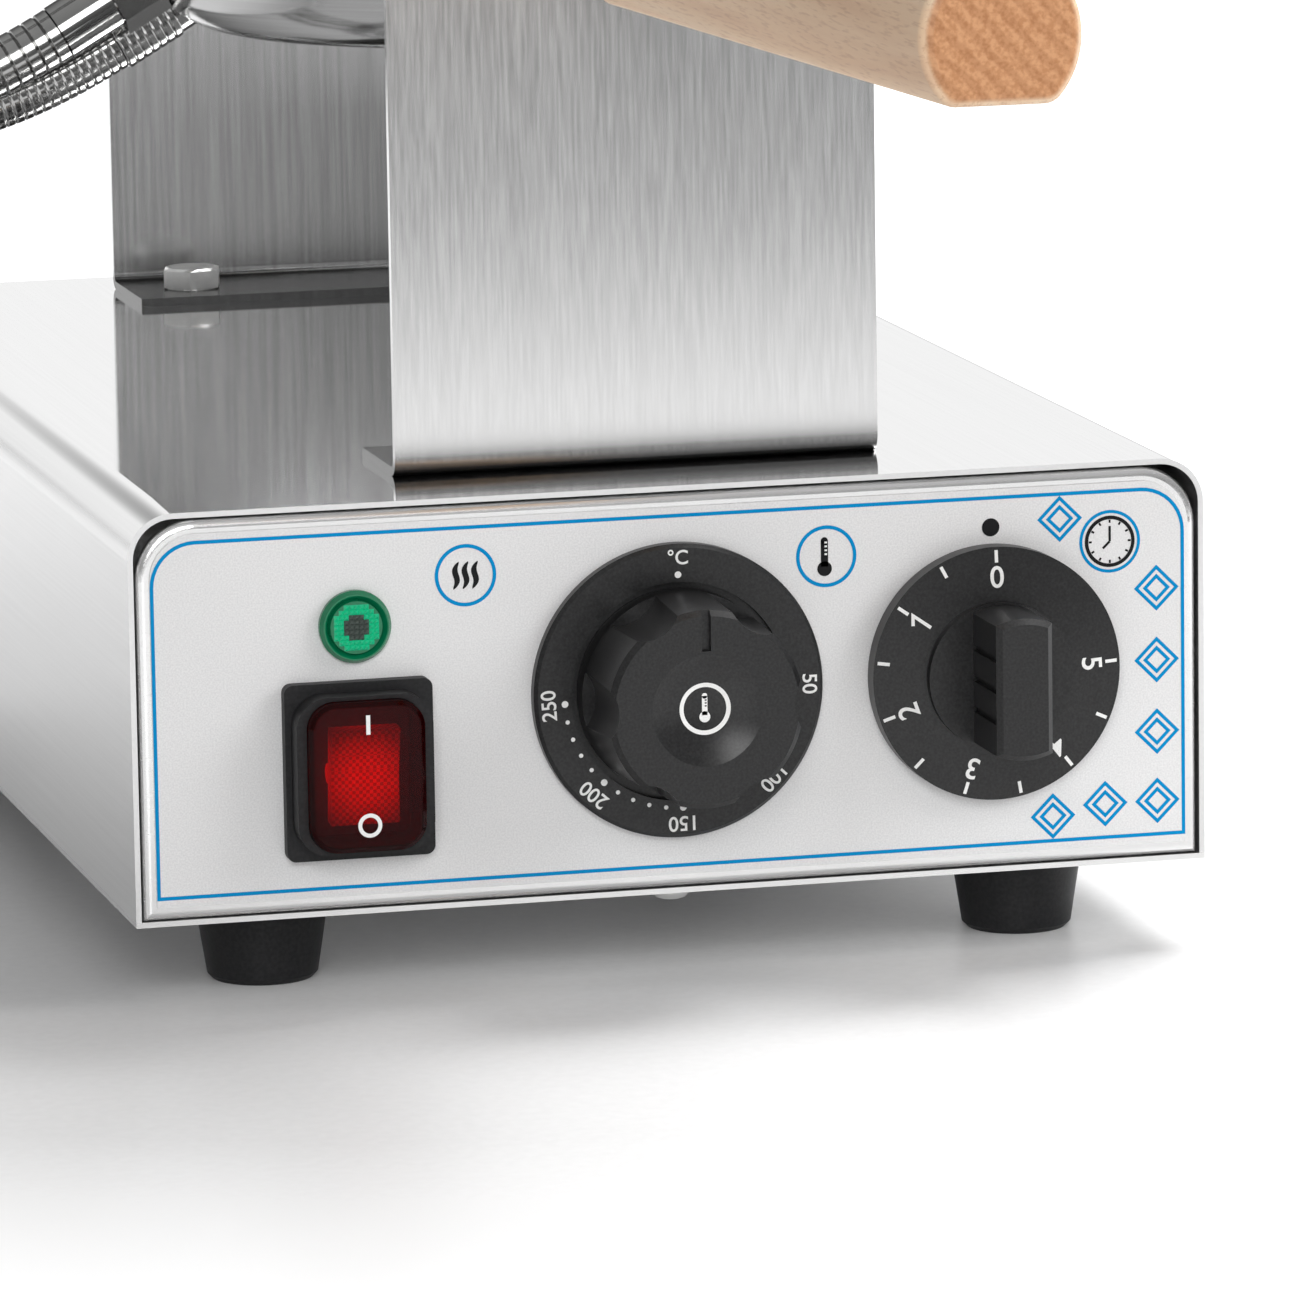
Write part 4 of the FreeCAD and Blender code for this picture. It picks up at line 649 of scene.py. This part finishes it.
PLASTIC = grained(
    "black_plastic", (0.006, 0.006, 0.0064), (0.018, 0.018, 0.0187), 0.34, 1700, 0.03, sheen=0.4
)
INNER = grained("inner_plastic", (0.05, 0.05, 0.05), (0.09, 0.09, 0.085), 0.5, 600, 0.03)
WOOD = beech()
GREEN = lens("green_lens", (0.002, 0.20, 0.085), 0.1, 0.2, 0.05)
FACETS = lens("lamp_facets_green", (0.01, 0.50, 0.24), 0.1, 0.2, 0.2)
FACETS_DARK = lens("lamp_facets_grey", (0.075, 0.095, 0.085), 0.12, 0.1)
RED_COVER = lens("red_cover", (0.30, 0.001, 0.003), 0.03, 0.96, ior=1.18)
ROCKER_RED = gridded_red()
BLUE_INK = ink("blue_ink", PANEL_BLUE)
BLACK_INK = ink("black_ink", INK_BLACK)
WHITE_INK = ink("white_ink", INK_WHITE)

LOOKS = {
    "housing_shell": STEEL, "bottom_plate": PANEL_STEEL, "front_panel": PANEL_STEEL,
    "rear_panel": PANEL_STEEL, "panel_overlay": FOIL, "rubber_feet": RUBBER,
    "front_upright": UPRIGHT, "rear_upright": REAR_UPRIGHT,
    "upright_bolts": ZINC, "upright_nuts": ZINC, "bearing_bush": BRONZE,
    "lamp_lens": GREEN, "lamp_body": INNER, "switch_frame": RUBBER, "switch_window": RED_COVER,
    "power_rocker": ROCKER_RED, "switch_body": INNER,
    "thermostat_dial": PLASTIC, "thermostat_knob": PLASTIC,
    "thermostat_spindle": CHROME, "thermostat_body": INNER,
    "timer_knob": PLASTIC, "timer_spindle": CHROME, "timer_body": INNER, "terminal_block": INNER,
    "mains_inlet_gland": RUBBER, "pan_cable_gland": RUBBER,
    "pan_shaft": CHROME, "shaft_nut": CHROME, "shaft_grommet": RUBBER,
    "pan_yoke": IRON, "hinge_pin": CHROME,
    "lower_plate": IRON, "upper_plate": IRON, "lower_dome": DOME, "upper_dome": DOME,
    "lower_heater": SHEATH, "upper_heater": SHEATH, "lower_journal": IRON, "upper_journal": IRON,
    "lower_rod": ROD_STEEL, "upper_rod": ROD_STEEL, "lower_ferrule": CHROME, "upper_ferrule": CHROME,
    "lower_grip": WOOD, "upper_grip": WOOD, "lower_gland_nut": DARK_REFLECTION_CHROME, "upper_gland_nut": DARK_REFLECTION_CHROME,
    "lower_hose_ferrules": DARK_REFLECTION_CHROME, "upper_hose_ferrules": DARK_REFLECTION_CHROME,
}


def dress_nodes():
    for name, material in LOOKS.items():
        mesh = NODES[name].data
        mesh.materials.clear()
        mesh.materials.append(material)


# Hoses
def spline_points(name, controls):
    """Points along a smooth line led by the route's points."""
    curve = bpy.data.curves.new(name, "CURVE")
    curve.dimensions = "3D"
    curve.resolution_u = ROUTE_DETAIL
    spline = curve.splines.new("NURBS")
    spline.points.add(len(controls) - 1)
    for point, control in zip(spline.points, controls):
        point.co = (*(c * MM for c in control), 1)
    spline.order_u = 3
    spline.use_endpoint_u = True
    return [v.co / MM for v in curve_mesh(name, curve).vertices]


def evenly(points, step):
    """Points a fixed step apart along a line, and its length."""
    lengths = [(b - a).length for a, b in zip(points, points[1:])]
    total = sum(lengths)
    count = round(total / step)
    found, walked, k = [], 0.0, 0
    for i in range(count + 1):
        target = total * i / count
        while k < len(lengths) - 1 and walked + lengths[k] < target:
            walked += lengths[k]
            k += 1
        found.append(points[k].lerp(points[k + 1], min(1.0, (target - walked) / lengths[k])))
    return found, total


def crease_valleys(mesh):
    """Sharp edges round the hose along the grooves between its ribs."""
    sharp = (0, 1, RINGS_PER_RIB - 1)
    for edge in mesh.edges:
        a, b = (v // HOSE_SIDES for v in edge.vertices)
        edge.use_edge_sharp = a == b and a % RINGS_PER_RIB in sharp


def ribbed_tube(path):
    """Points and faces of a tube round a path, with one rib for each set of rings."""
    across = Vector((0, 1, 0))
    verts, faces = [], []
    for i, point in enumerate(path):
        along = (path[min(i + 1, len(path) - 1)] - path[max(i - 1, 0)]).normalized()
        third = along.cross(across)
        radius = HOSE_RADIUS - HOSE_RIB * (1 - RIB_SHAPE[i % RINGS_PER_RIB])
        for k in range(HOSE_SIDES):
            a = 2 * math.pi * k / HOSE_SIDES
            verts.append(tuple(point + across * (radius * math.cos(a)) + third * (radius * math.sin(a))))
    for i in range(len(path) - 1):
        for k in range(HOSE_SIDES):
            n = (k + 1) % HOSE_SIDES
            low, high = i * HOSE_SIDES, (i + 1) * HOSE_SIDES
            faces.append((low + k, low + n, high + n, high + k))
    return verts, faces


def hose(name, start, half, bulge, pitch, crisp):
    """A corrugated steel hose from the lower ferrule round to the upper one."""
    lower = [(start[0] + x, start[1], start[2] + z) for x, z in half]
    upper = [(x, y, 2 * AXIS_Z - z) for x, y, z in reversed(lower)]
    controls = lower + [(start[0] - bulge, start[1], AXIS_Z)] + upper
    path, total = evenly(spline_points(name + "_line", controls), pitch / RINGS_PER_RIB)
    verts, faces = ribbed_tube(path)
    obj = mesh_object(name + "_ribs", verts, faces, HOSE_STEEL, smooth=True)
    if crisp:
        crease_valleys(obj.data)
    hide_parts(name)
    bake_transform(obj)


def ribbed_sleeve(name, end, turn, body):
    """Ribs round the second hose's sleeve, from the hose's start; turn is +1 below and -1 above."""
    inwards = Vector((math.cos(GLAND_ANGLE), 0, turn * math.sin(GLAND_ANGLE)))
    count = round(SLEEVE_LENGTH / HOSE_TWO_PITCH) * RINGS_PER_RIB
    profile = []
    for i in range(count + 1):
        rib = HOSE_RIB * RIB_SHAPE[i % RINGS_PER_RIB]
        profile.append((SLEEVE_RADIUS + rib, SLEEVE_LENGTH * i / count))
    place(lathe(name, profile, end, inwards, (0, 1, 0), HOSE_STEEL), body)


def ribbed_sleeves():
    x, y, z = HOSE_TWO_START
    ribbed_sleeve("lower_ribbed_sleeve", (x, y, z), 1, "pan")
    ribbed_sleeve("upper_ribbed_sleeve", (x, y, 2 * AXIS_Z - z), -1, "lid")


# Prints on the panel
def panel_border():
    left, right = -BORDER_SIDE, BORDER_SIDE
    bottom, top = BORDER_BOTTOM + BASE_BOTTOM, BORDER_TOP + BASE_BOTTOM
    points = [(left, bottom)]
    points += arc(left + BORDER_CORNER, top - BORDER_CORNER, BORDER_CORNER, 270, 360, CORNER_STEPS)
    points += arc(right - BORDER_CORNER, top - BORDER_CORNER, BORDER_CORNER, 0, 90, CORNER_STEPS)
    points += [(right, bottom)]
    print_flat("panel_border", [ribbon(points, BORDER_LINE, True)], PRINT_LIFT, BLUE_INK, "base")


def icon_ring(name, spot, material, radius=ICON_RADIUS, width=ICON_LINE):
    x, z = spot
    points = circle(x, BASE_BOTTOM + z, radius, RING_STEPS)
    print_flat(name, [ribbon(points, width, True)], PRINT_LIFT, material, "base")


def heat_wave(x, z):
    """One wavy stroke with pointed ends."""
    verts = []
    for i in range(HEAT_STEPS + 1):
        t = i / HEAT_STEPS
        middle = x + HEAT_SWAY * math.sin(2 * math.pi * t) + HEAT_LEAN * (t - 0.5)
        half = HEAT_TIP + HEAT_HALF * math.sqrt(max(0.0, math.sin(math.pi * t)))
        height = z + HEAT_HEIGHT * (t - 0.5)
        verts += [(middle - half, height), (middle + half, height)]
    return verts, [(2 * i, 2 * i + 1, 2 * i + 3, 2 * i + 2) for i in range(HEAT_STEPS)]


def heat_icon():
    x, z = HEAT_ICON
    icon_ring("heat_ring", HEAT_ICON, BLUE_INK)
    strokes = [heat_wave(x + dx, BASE_BOTTOM + z) for dx in (-HEAT_PITCH, 0.0, HEAT_PITCH)]
    print_flat("heat_waves", strokes, PRINT_LIFT, BLACK_INK, "base")


def thermometer(name, x, z, size, out, material, marks_material, body):
    """A little thermometer with a bulb at the bottom and marks on its stem."""
    bulb = disc(x, z - BULB_DROP * size, BULB_RADIUS * size)
    stem_ends = [(x, z - STEM_DROP * size), (x, z + STEM_RISE * size)]
    stem = ribbon(stem_ends, STEM_WIDTH * size, False)
    cap = disc(x, z + STEM_RISE * size, STEM_WIDTH / 2 * size, STEM_CAP_STEPS)
    marks = []
    for rise in STEM_MARKS:
        ends = [(x, z + rise * size), (x + STEM_MARK_LENGTH * size, z + rise * size)]
        marks.append(ribbon(ends, STEM_MARK_LINE * size, False))
    print_flat(name, [bulb, stem, cap], out, material, body)
    print_flat(name + "_marks", marks, out + PRINT_LIFT, marks_material, body)


def clock_icon():
    x, z = CLOCK_ICON
    icon_ring("clock_ring", CLOCK_ICON, BLUE_INK, CLOCK_RING_RADIUS, CLOCK_RING_LINE)
    icon_ring("clock_face", CLOCK_ICON, BLACK_INK, CLOCK_FACE_RADIUS, CLOCK_FACE_LINE)
    middle = BASE_BOTTOM + z
    lines = [ribbon([(x, middle), (x + dx, middle + dz)], CLOCK_HAND_LINE, False) for dx, dz in CLOCK_HANDS]
    for i in range(CLOCK_HOURS):
        turn = 360 / CLOCK_HOURS * i
        ends = [turned(x, middle, 0, reach, turn) for reach in (CLOCK_TICK_FROM, CLOCK_TICK_TO)]
        lines.append(ribbon(ends, CLOCK_TICK_LINE, False))
    print_flat("clock_hands", lines, PRINT_LIFT, BLACK_INK, "base")


def corner_design():
    """Plain blue diamonds at the panel's right end."""
    outlines = []
    for x, z in DIAMONDS:
        middle = BASE_BOTTOM + z
        for reach in DIAMOND_REACHES:
            corners = [(x - reach, middle), (x, middle + reach), (x + reach, middle), (x, middle - reach)]
            outlines.append(ribbon(corners, DIAMOND_LINE, True))
    print_flat("corner_design", outlines, PRINT_LIFT, BLUE_INK, "base")


def panel_prints():
    panel_border()
    heat_icon()
    icon_ring("thermometer_ring", THERMOMETER_RING, BLUE_INK)
    x, z = THERMOMETER_ICON
    thermometer(
        "thermometer_mark", x, BASE_BOTTOM + z, THERMOMETER_SIZE, PRINT_LIFT, BLACK_INK, WHITE_INK, "base"
    )
    clock_icon()
    x, z = TIMER_DOT
    print_flat("timer_dot", [disc(x, BASE_BOTTOM + z, TIMER_DOT_RADIUS)], PRINT_LIFT, BLACK_INK, "base")
    corner_design()


# Scales of the two controls
def around(control, radius, turn):
    """A point at a distance from a control's middle, at degrees clockwise from the top."""
    return turned(control[0], BASE_BOTTOM + control[1], 0, radius, turn)


def dial_dot(turn, radius, steps):
    return disc(*around(THERMOSTAT, DIAL_DOTS_AT, turn), radius, steps)


def thermostat_scale():
    out = DIAL_OUT + PRINT_LIFT
    for text, turn in DIAL_NUMBERS.items():
        x, z = around(THERMOSTAT, DIAL_NUMBERS_AT, turn)
        words("dial_" + text, text, DIAL_NUMBER_SIZE, x, z, turn, out, WHITE_INK, "base")
    x, z = around(THERMOSTAT, DIAL_UNIT_AT, 0)
    words("dial_unit", "°C", DIAL_UNIT_SIZE, x, z, 0, out, WHITE_INK, "base")
    turns = list(DIAL_NUMBERS.values())
    dots = [dial_dot(turn, DIAL_DOT, DIAL_DOT_STEPS) for turn in [0] + turns]
    for a, b in zip(turns, turns[1:]):
        for k in range(1, DIAL_SPACES):
            dots.append(dial_dot(a + (b - a) * k / DIAL_SPACES, DIAL_SMALL_DOT, DIAL_SMALL_DOT_STEPS))
    print_flat("dial_dots", dots, out, WHITE_INK, "base")


def skirt_out(x, z):
    """How far the timer's sloping scale stands out at a point."""
    radius = math.hypot(x - TIMER[0], z - BASE_BOTTOM - TIMER[1])
    share = (SKIRT_RADIUS - radius) / (SKIRT_RADIUS - SKIRT_HUB_RADIUS)
    return SKIRT_OUT + SKIRT_RISE * min(1.0, max(0.0, share)) + PRINT_LIFT


def timer_scale():
    ticks = []
    for i in range(TIMER_TICKS):
        turn = TIMER_STEP * i
        ends = [around(TIMER, radius, turn) for radius in (TIMER_TICK_FROM, TIMER_TICK_TO)]
        ticks.append(ribbon(ends, TIMER_LINE, False))
        if i % 2 == 0 and i != TIMER_ONE_TICK:
            x, z = around(TIMER, TIMER_FIGURES_AT, turn)
            figure = str(i // 2)
            words("timer_" + figure, figure, TIMER_FIGURE_SIZE, x, z, turn, skirt_out, WHITE_INK, "timer")
    print_flat("timer_ticks", ticks, skirt_out, WHITE_INK, "timer")
    timer_one(TIMER_STEP * TIMER_ONE_TICK)


def timer_one(turn):
    """The figure 1, drawn with a clear flag."""
    x, z = around(TIMER, TIMER_FIGURES_AT, turn)
    line = [turned(x, z, u, w, turn) for u, w in TIMER_ONE_STROKES]
    print_flat("timer_1", [ribbon(line, TIMER_LINE, False)], skirt_out, WHITE_INK, "timer")


def dish_out(x, z):
    """How far the thermostat knob's dished face stands out at a point."""
    sphere = (DISH_RADIUS**2 + DISH_DEPTH**2) / (2 * DISH_DEPTH)
    radius = math.hypot(x - THERMOSTAT[0], z - BASE_BOTTOM - THERMOSTAT[1])
    return KNOB_OUT - DISH_DEPTH + sphere - math.sqrt(sphere**2 - radius**2) + PRINT_LIFT


def knob_mark():
    x, z = around(THERMOSTAT, 0, 0)
    ring = ribbon(circle(x, z, KNOB_RING_RADIUS, RING_STEPS), KNOB_RING_LINE, True)
    print_flat("knob_ring", [ring], dish_out, WHITE_INK, "thermostat")
    out = KNOB_OUT - DISH_DEPTH + KNOB_THERMOMETER_LIFT
    thermometer("knob_thermometer", x, z, KNOB_THERMOMETER_SIZE, out, WHITE_INK, BLACK_INK, "thermostat")


# Switch and lamp
def switch_marks():
    x, z = SWITCH[0], BASE_BOTTOM + SWITCH[1]
    bar = ribbon([(x, z + SWITCH_BAR_FROM), (x, z + SWITCH_BAR_TO)], SWITCH_BAR_LINE, False)
    points = circle(x, z - SWITCH_RING_DROP, SWITCH_RING_RADIUS, SWITCH_RING_STEPS)
    ring = ribbon(points, SWITCH_RING_LINE, True)
    print_flat("switch_marks", [bar, ring], WINDOW_OUT + PRINT_LIFT, WHITE_INK, "base")


def facets(name, low, high, material):
    """Small pyramids between two distances from the lamp's middle."""
    count = int(FACET_REACH / FACET_PITCH)
    y, h = FACE_Y - LAMP_OUT, FACET_PITCH / 2
    verts, faces = [], []
    for i in range(-count, count + 1):
        for j in range(-count, count + 1):
            dx, dz = i * FACET_PITCH, j * FACET_PITCH
            if not low < math.hypot(dx, dz) <= high:
                continue
            x, z = LAMP[0] + dx, BASE_BOTTOM + LAMP[1] + dz
            first = len(verts)
            verts += [(x + u * h, y, z + w * h) for u, w in ((-1, -1), (1, -1), (1, 1), (-1, 1))]
            verts.append((x, y - FACET_RISE, z))
            faces += [(first + k, first + (k + 1) % 4, first + 4) for k in range(4)]
    place(mesh_object(name, verts, faces, material), "base")


def lamp_facets():
    facets("lamp_facets_green", FACET_INNER, FACET_REACH - FACET_PITCH / 3, FACETS)
    facets("lamp_facets_grey", -1.0, FACET_INNER, FACETS_DARK)


# Bolts that hold the uprights
def bolt_ring(x, y, z, radius, flat):
    """Points round a bolt: on a hexagon with that inner radius where flat is true, else on a circle."""
    points = []
    for i in range(BOLT_SIDES):
        a = 2 * math.pi * i / BOLT_SIDES
        reach = radius / math.cos(a % (math.pi / 3) - math.pi / 6) if flat else radius
        points.append((x + reach * math.cos(a + BOLT_TURN), y + reach * math.sin(a + BOLT_TURN), z))
    return points


def bolt_levels():
    """Height, radius and whether it is a hexagon, for each ring of a bolt from its tail up."""
    seat = BASE_TOP + UPRIGHT_SHEET
    top = seat + BOLT_HEAD_HEIGHT
    return [
        (BASE_TOP - BOLT_TAIL, BOLT_RADIUS, False), (seat, BOLT_RADIUS, False),
        (seat, BOLT_FACE_RADIUS, False), (seat + BOLT_FACE_RISE, BOLT_FACE_RADIUS, False),
        (seat + BOLT_FACE_RISE, BOLT_FLAT_RADIUS, True), (top - BOLT_CHAMFER, BOLT_FLAT_RADIUS, True),
        (top, BOLT_FACE_RADIUS, False), (top, CLOSED_RADIUS, False),
    ]


def upright_bolts():
    """Hexagon heads with round-chamfered tops, and their shanks down through the nuts."""
    levels = bolt_levels()
    verts, faces = [], []
    for x in (-BOLT_X, BOLT_X):
        for y in BOLT_YS:
            start = len(verts)
            for z, radius, flat in levels:
                verts += bolt_ring(x, y, z, radius, flat)
            for k in range(len(levels) - 1):
                low = start + BOLT_SIDES * k
                high = low + BOLT_SIDES
                for i in range(BOLT_SIDES):
                    n = (i + 1) % BOLT_SIDES
                    faces.append((low + i, low + n, high + n, high + i))
    obj = mesh_object("upright_bolt_heads", verts, faces, ZINC)
    place(obj, "base")
    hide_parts("upright_bolts")


# Small screws under the bottom plate
def bottom_screws():
    front, back = PANEL_Y + SCREW_SIDE_INSET, REAR_Y - SCREW_SIDE_INSET
    spots = [(0.0, PANEL_Y + SCREW_END_INSET), (0.0, REAR_Y - SCREW_END_INSET)]
    spots += [(x, y) for x in (-SCREW_SIDE, SCREW_SIDE) for y in (front, back)]
    for i, (x, y) in enumerate(spots):
        name = "bottom_screw_" + str(i)
        centre = (x, y, BOTTOM_UNDERSIDE)
        screw = lathe(name, SCREW_PROFILE, centre, (0, 0, -1), (1, 0, 0), CHROME, SCREW_STEPS)
        place(screw, "base")


# Camera, light and floor
def camera():
    data = bpy.data.cameras.new("camera")
    data.lens = CAMERA_LENS
    data.sensor_width = SENSOR
    data.clip_end = CAMERA_REACH
    obj = bpy.data.objects.new("camera", data)
    bpy.context.collection.objects.link(obj)
    right, up, forward = Vector(CAMERA_RIGHT), Vector(CAMERA_UP), Vector(CAMERA_FORWARD)
    turn = Matrix((right, up, -forward)).transposed().to_4x4()
    obj.matrix_world = Matrix.Translation(Vector(CAMERA_AT) * MM) @ turn
    bpy.context.scene.camera = obj


def area_light(name, at, size, power, mirrored):
    """A rectangle of light; metal shows it as a bright patch where mirrored is true."""
    data = bpy.data.lights.new(name, "AREA")
    data.shape = "RECTANGLE"
    data.size, data.size_y = size
    data.energy = power
    obj = bpy.data.objects.new(name, data)
    bpy.context.collection.objects.link(obj)
    obj.location = at
    obj.rotation_euler = (Vector(LAMP_TARGET) - Vector(at)).to_track_quat("-Z", "Y").to_euler()
    obj.visible_glossy = mirrored


def world():
    """White for the camera, a dim room for mirroring metal and a little light for the rest."""
    made = bpy.data.worlds.new("world")
    bpy.context.scene.world = made
    made.use_nodes = True
    tree = made.node_tree
    background = tree.nodes["Background"]
    path = node(tree, "ShaderNodeLightPath").outputs
    parts = separate(tree, node(tree, "ShaderNodeTexCoord").outputs["Generated"])
    height = scaled(tree, parts["Z"], 0.5, 0.5)
    behind = grey_ramp(tree, height, WORLD_BEHIND)
    before = grey_ramp(tree, height, WORLD_BEFORE)
    room = mixed(tree, ramp(tree, parts["Y"], WORLD_REARWARDS), before, behind)
    lit = mixed(tree, path["Is Glossy Ray"], WORLD_FILL, room)
    seen = mixed(tree, path["Is Camera Ray"], lit, (*WHITE, 1))
    tree.links.new(seen, background.inputs["Color"])
    background.inputs["Strength"].default_value = 1.0


def table_material():
    """White that takes the shadow near the machine and fades to plain white away from it."""
    material, tree, shader = new_material("table_white")
    noise = stretched_noise(tree, (1, 1, 1), 350)
    shade = grey_ramp(tree, noise, list(zip(BRUSHING_SPAN, TABLE_TONES)))
    shader.inputs["Roughness"].default_value = 0.4
    bump(tree, shader, noise, 0.2, 0.15)
    shifted = node(tree, "ShaderNodeMapping")
    shifted.inputs["Location"].default_value = (0.0, -TABLE_MIDDLE_Y * MM, 0.0)
    tree.links.new(object_place(tree), shifted.inputs["Vector"])
    away = node(tree, "ShaderNodeVectorMath", operation="LENGTH")
    tree.links.new(shifted.outputs["Vector"], away.inputs[0])
    fade = grey_ramp(tree, away.outputs["Value"], TABLE_FADE)
    tree.links.new(mixed(tree, fade, shade, TABLE_FAR), shader.inputs["Base Color"])
    path = node(tree, "ShaderNodeLightPath").outputs
    mirrored = scaled(tree, path["Is Glossy Ray"], TABLE_MIRRORED)
    shown = combined(tree, "ADD", path["Is Camera Ray"], mirrored)
    shader.inputs["Emission Color"].default_value = (*WHITE, 1)
    tree.links.new(combined(tree, "MULTIPLY", shown, fade), shader.inputs["Emission Strength"])
    return material


def floor():
    verts = [(x, TABLE_FRONT, 0) for x in (-TABLE_SIDE, TABLE_SIDE)]
    verts += [(x, TABLE_BACK, 0) for x in (TABLE_SIDE, -TABLE_SIDE)]
    mesh_object("table", verts, [(0, 1, 2, 3)], table_material())


camera()
for lamp in LAMPS:
    area_light(*lamp)
world()
floor()
bpy.context.scene.view_settings.view_transform = "Standard"
dress_nodes()
hose("hose_one", HOSE_ONE_START, HOSE_ONE_ROUTE, HOSE_ONE_BULGE, HOSE_ONE_PITCH, True)
hose("hose_two", HOSE_TWO_START, HOSE_TWO_ROUTE, HOSE_TWO_BULGE, HOSE_TWO_PITCH, False)
ribbed_sleeves()
panel_prints()
thermostat_scale()
timer_scale()
knob_mark()
switch_marks()
lamp_facets()
upright_bolts()
bottom_screws()
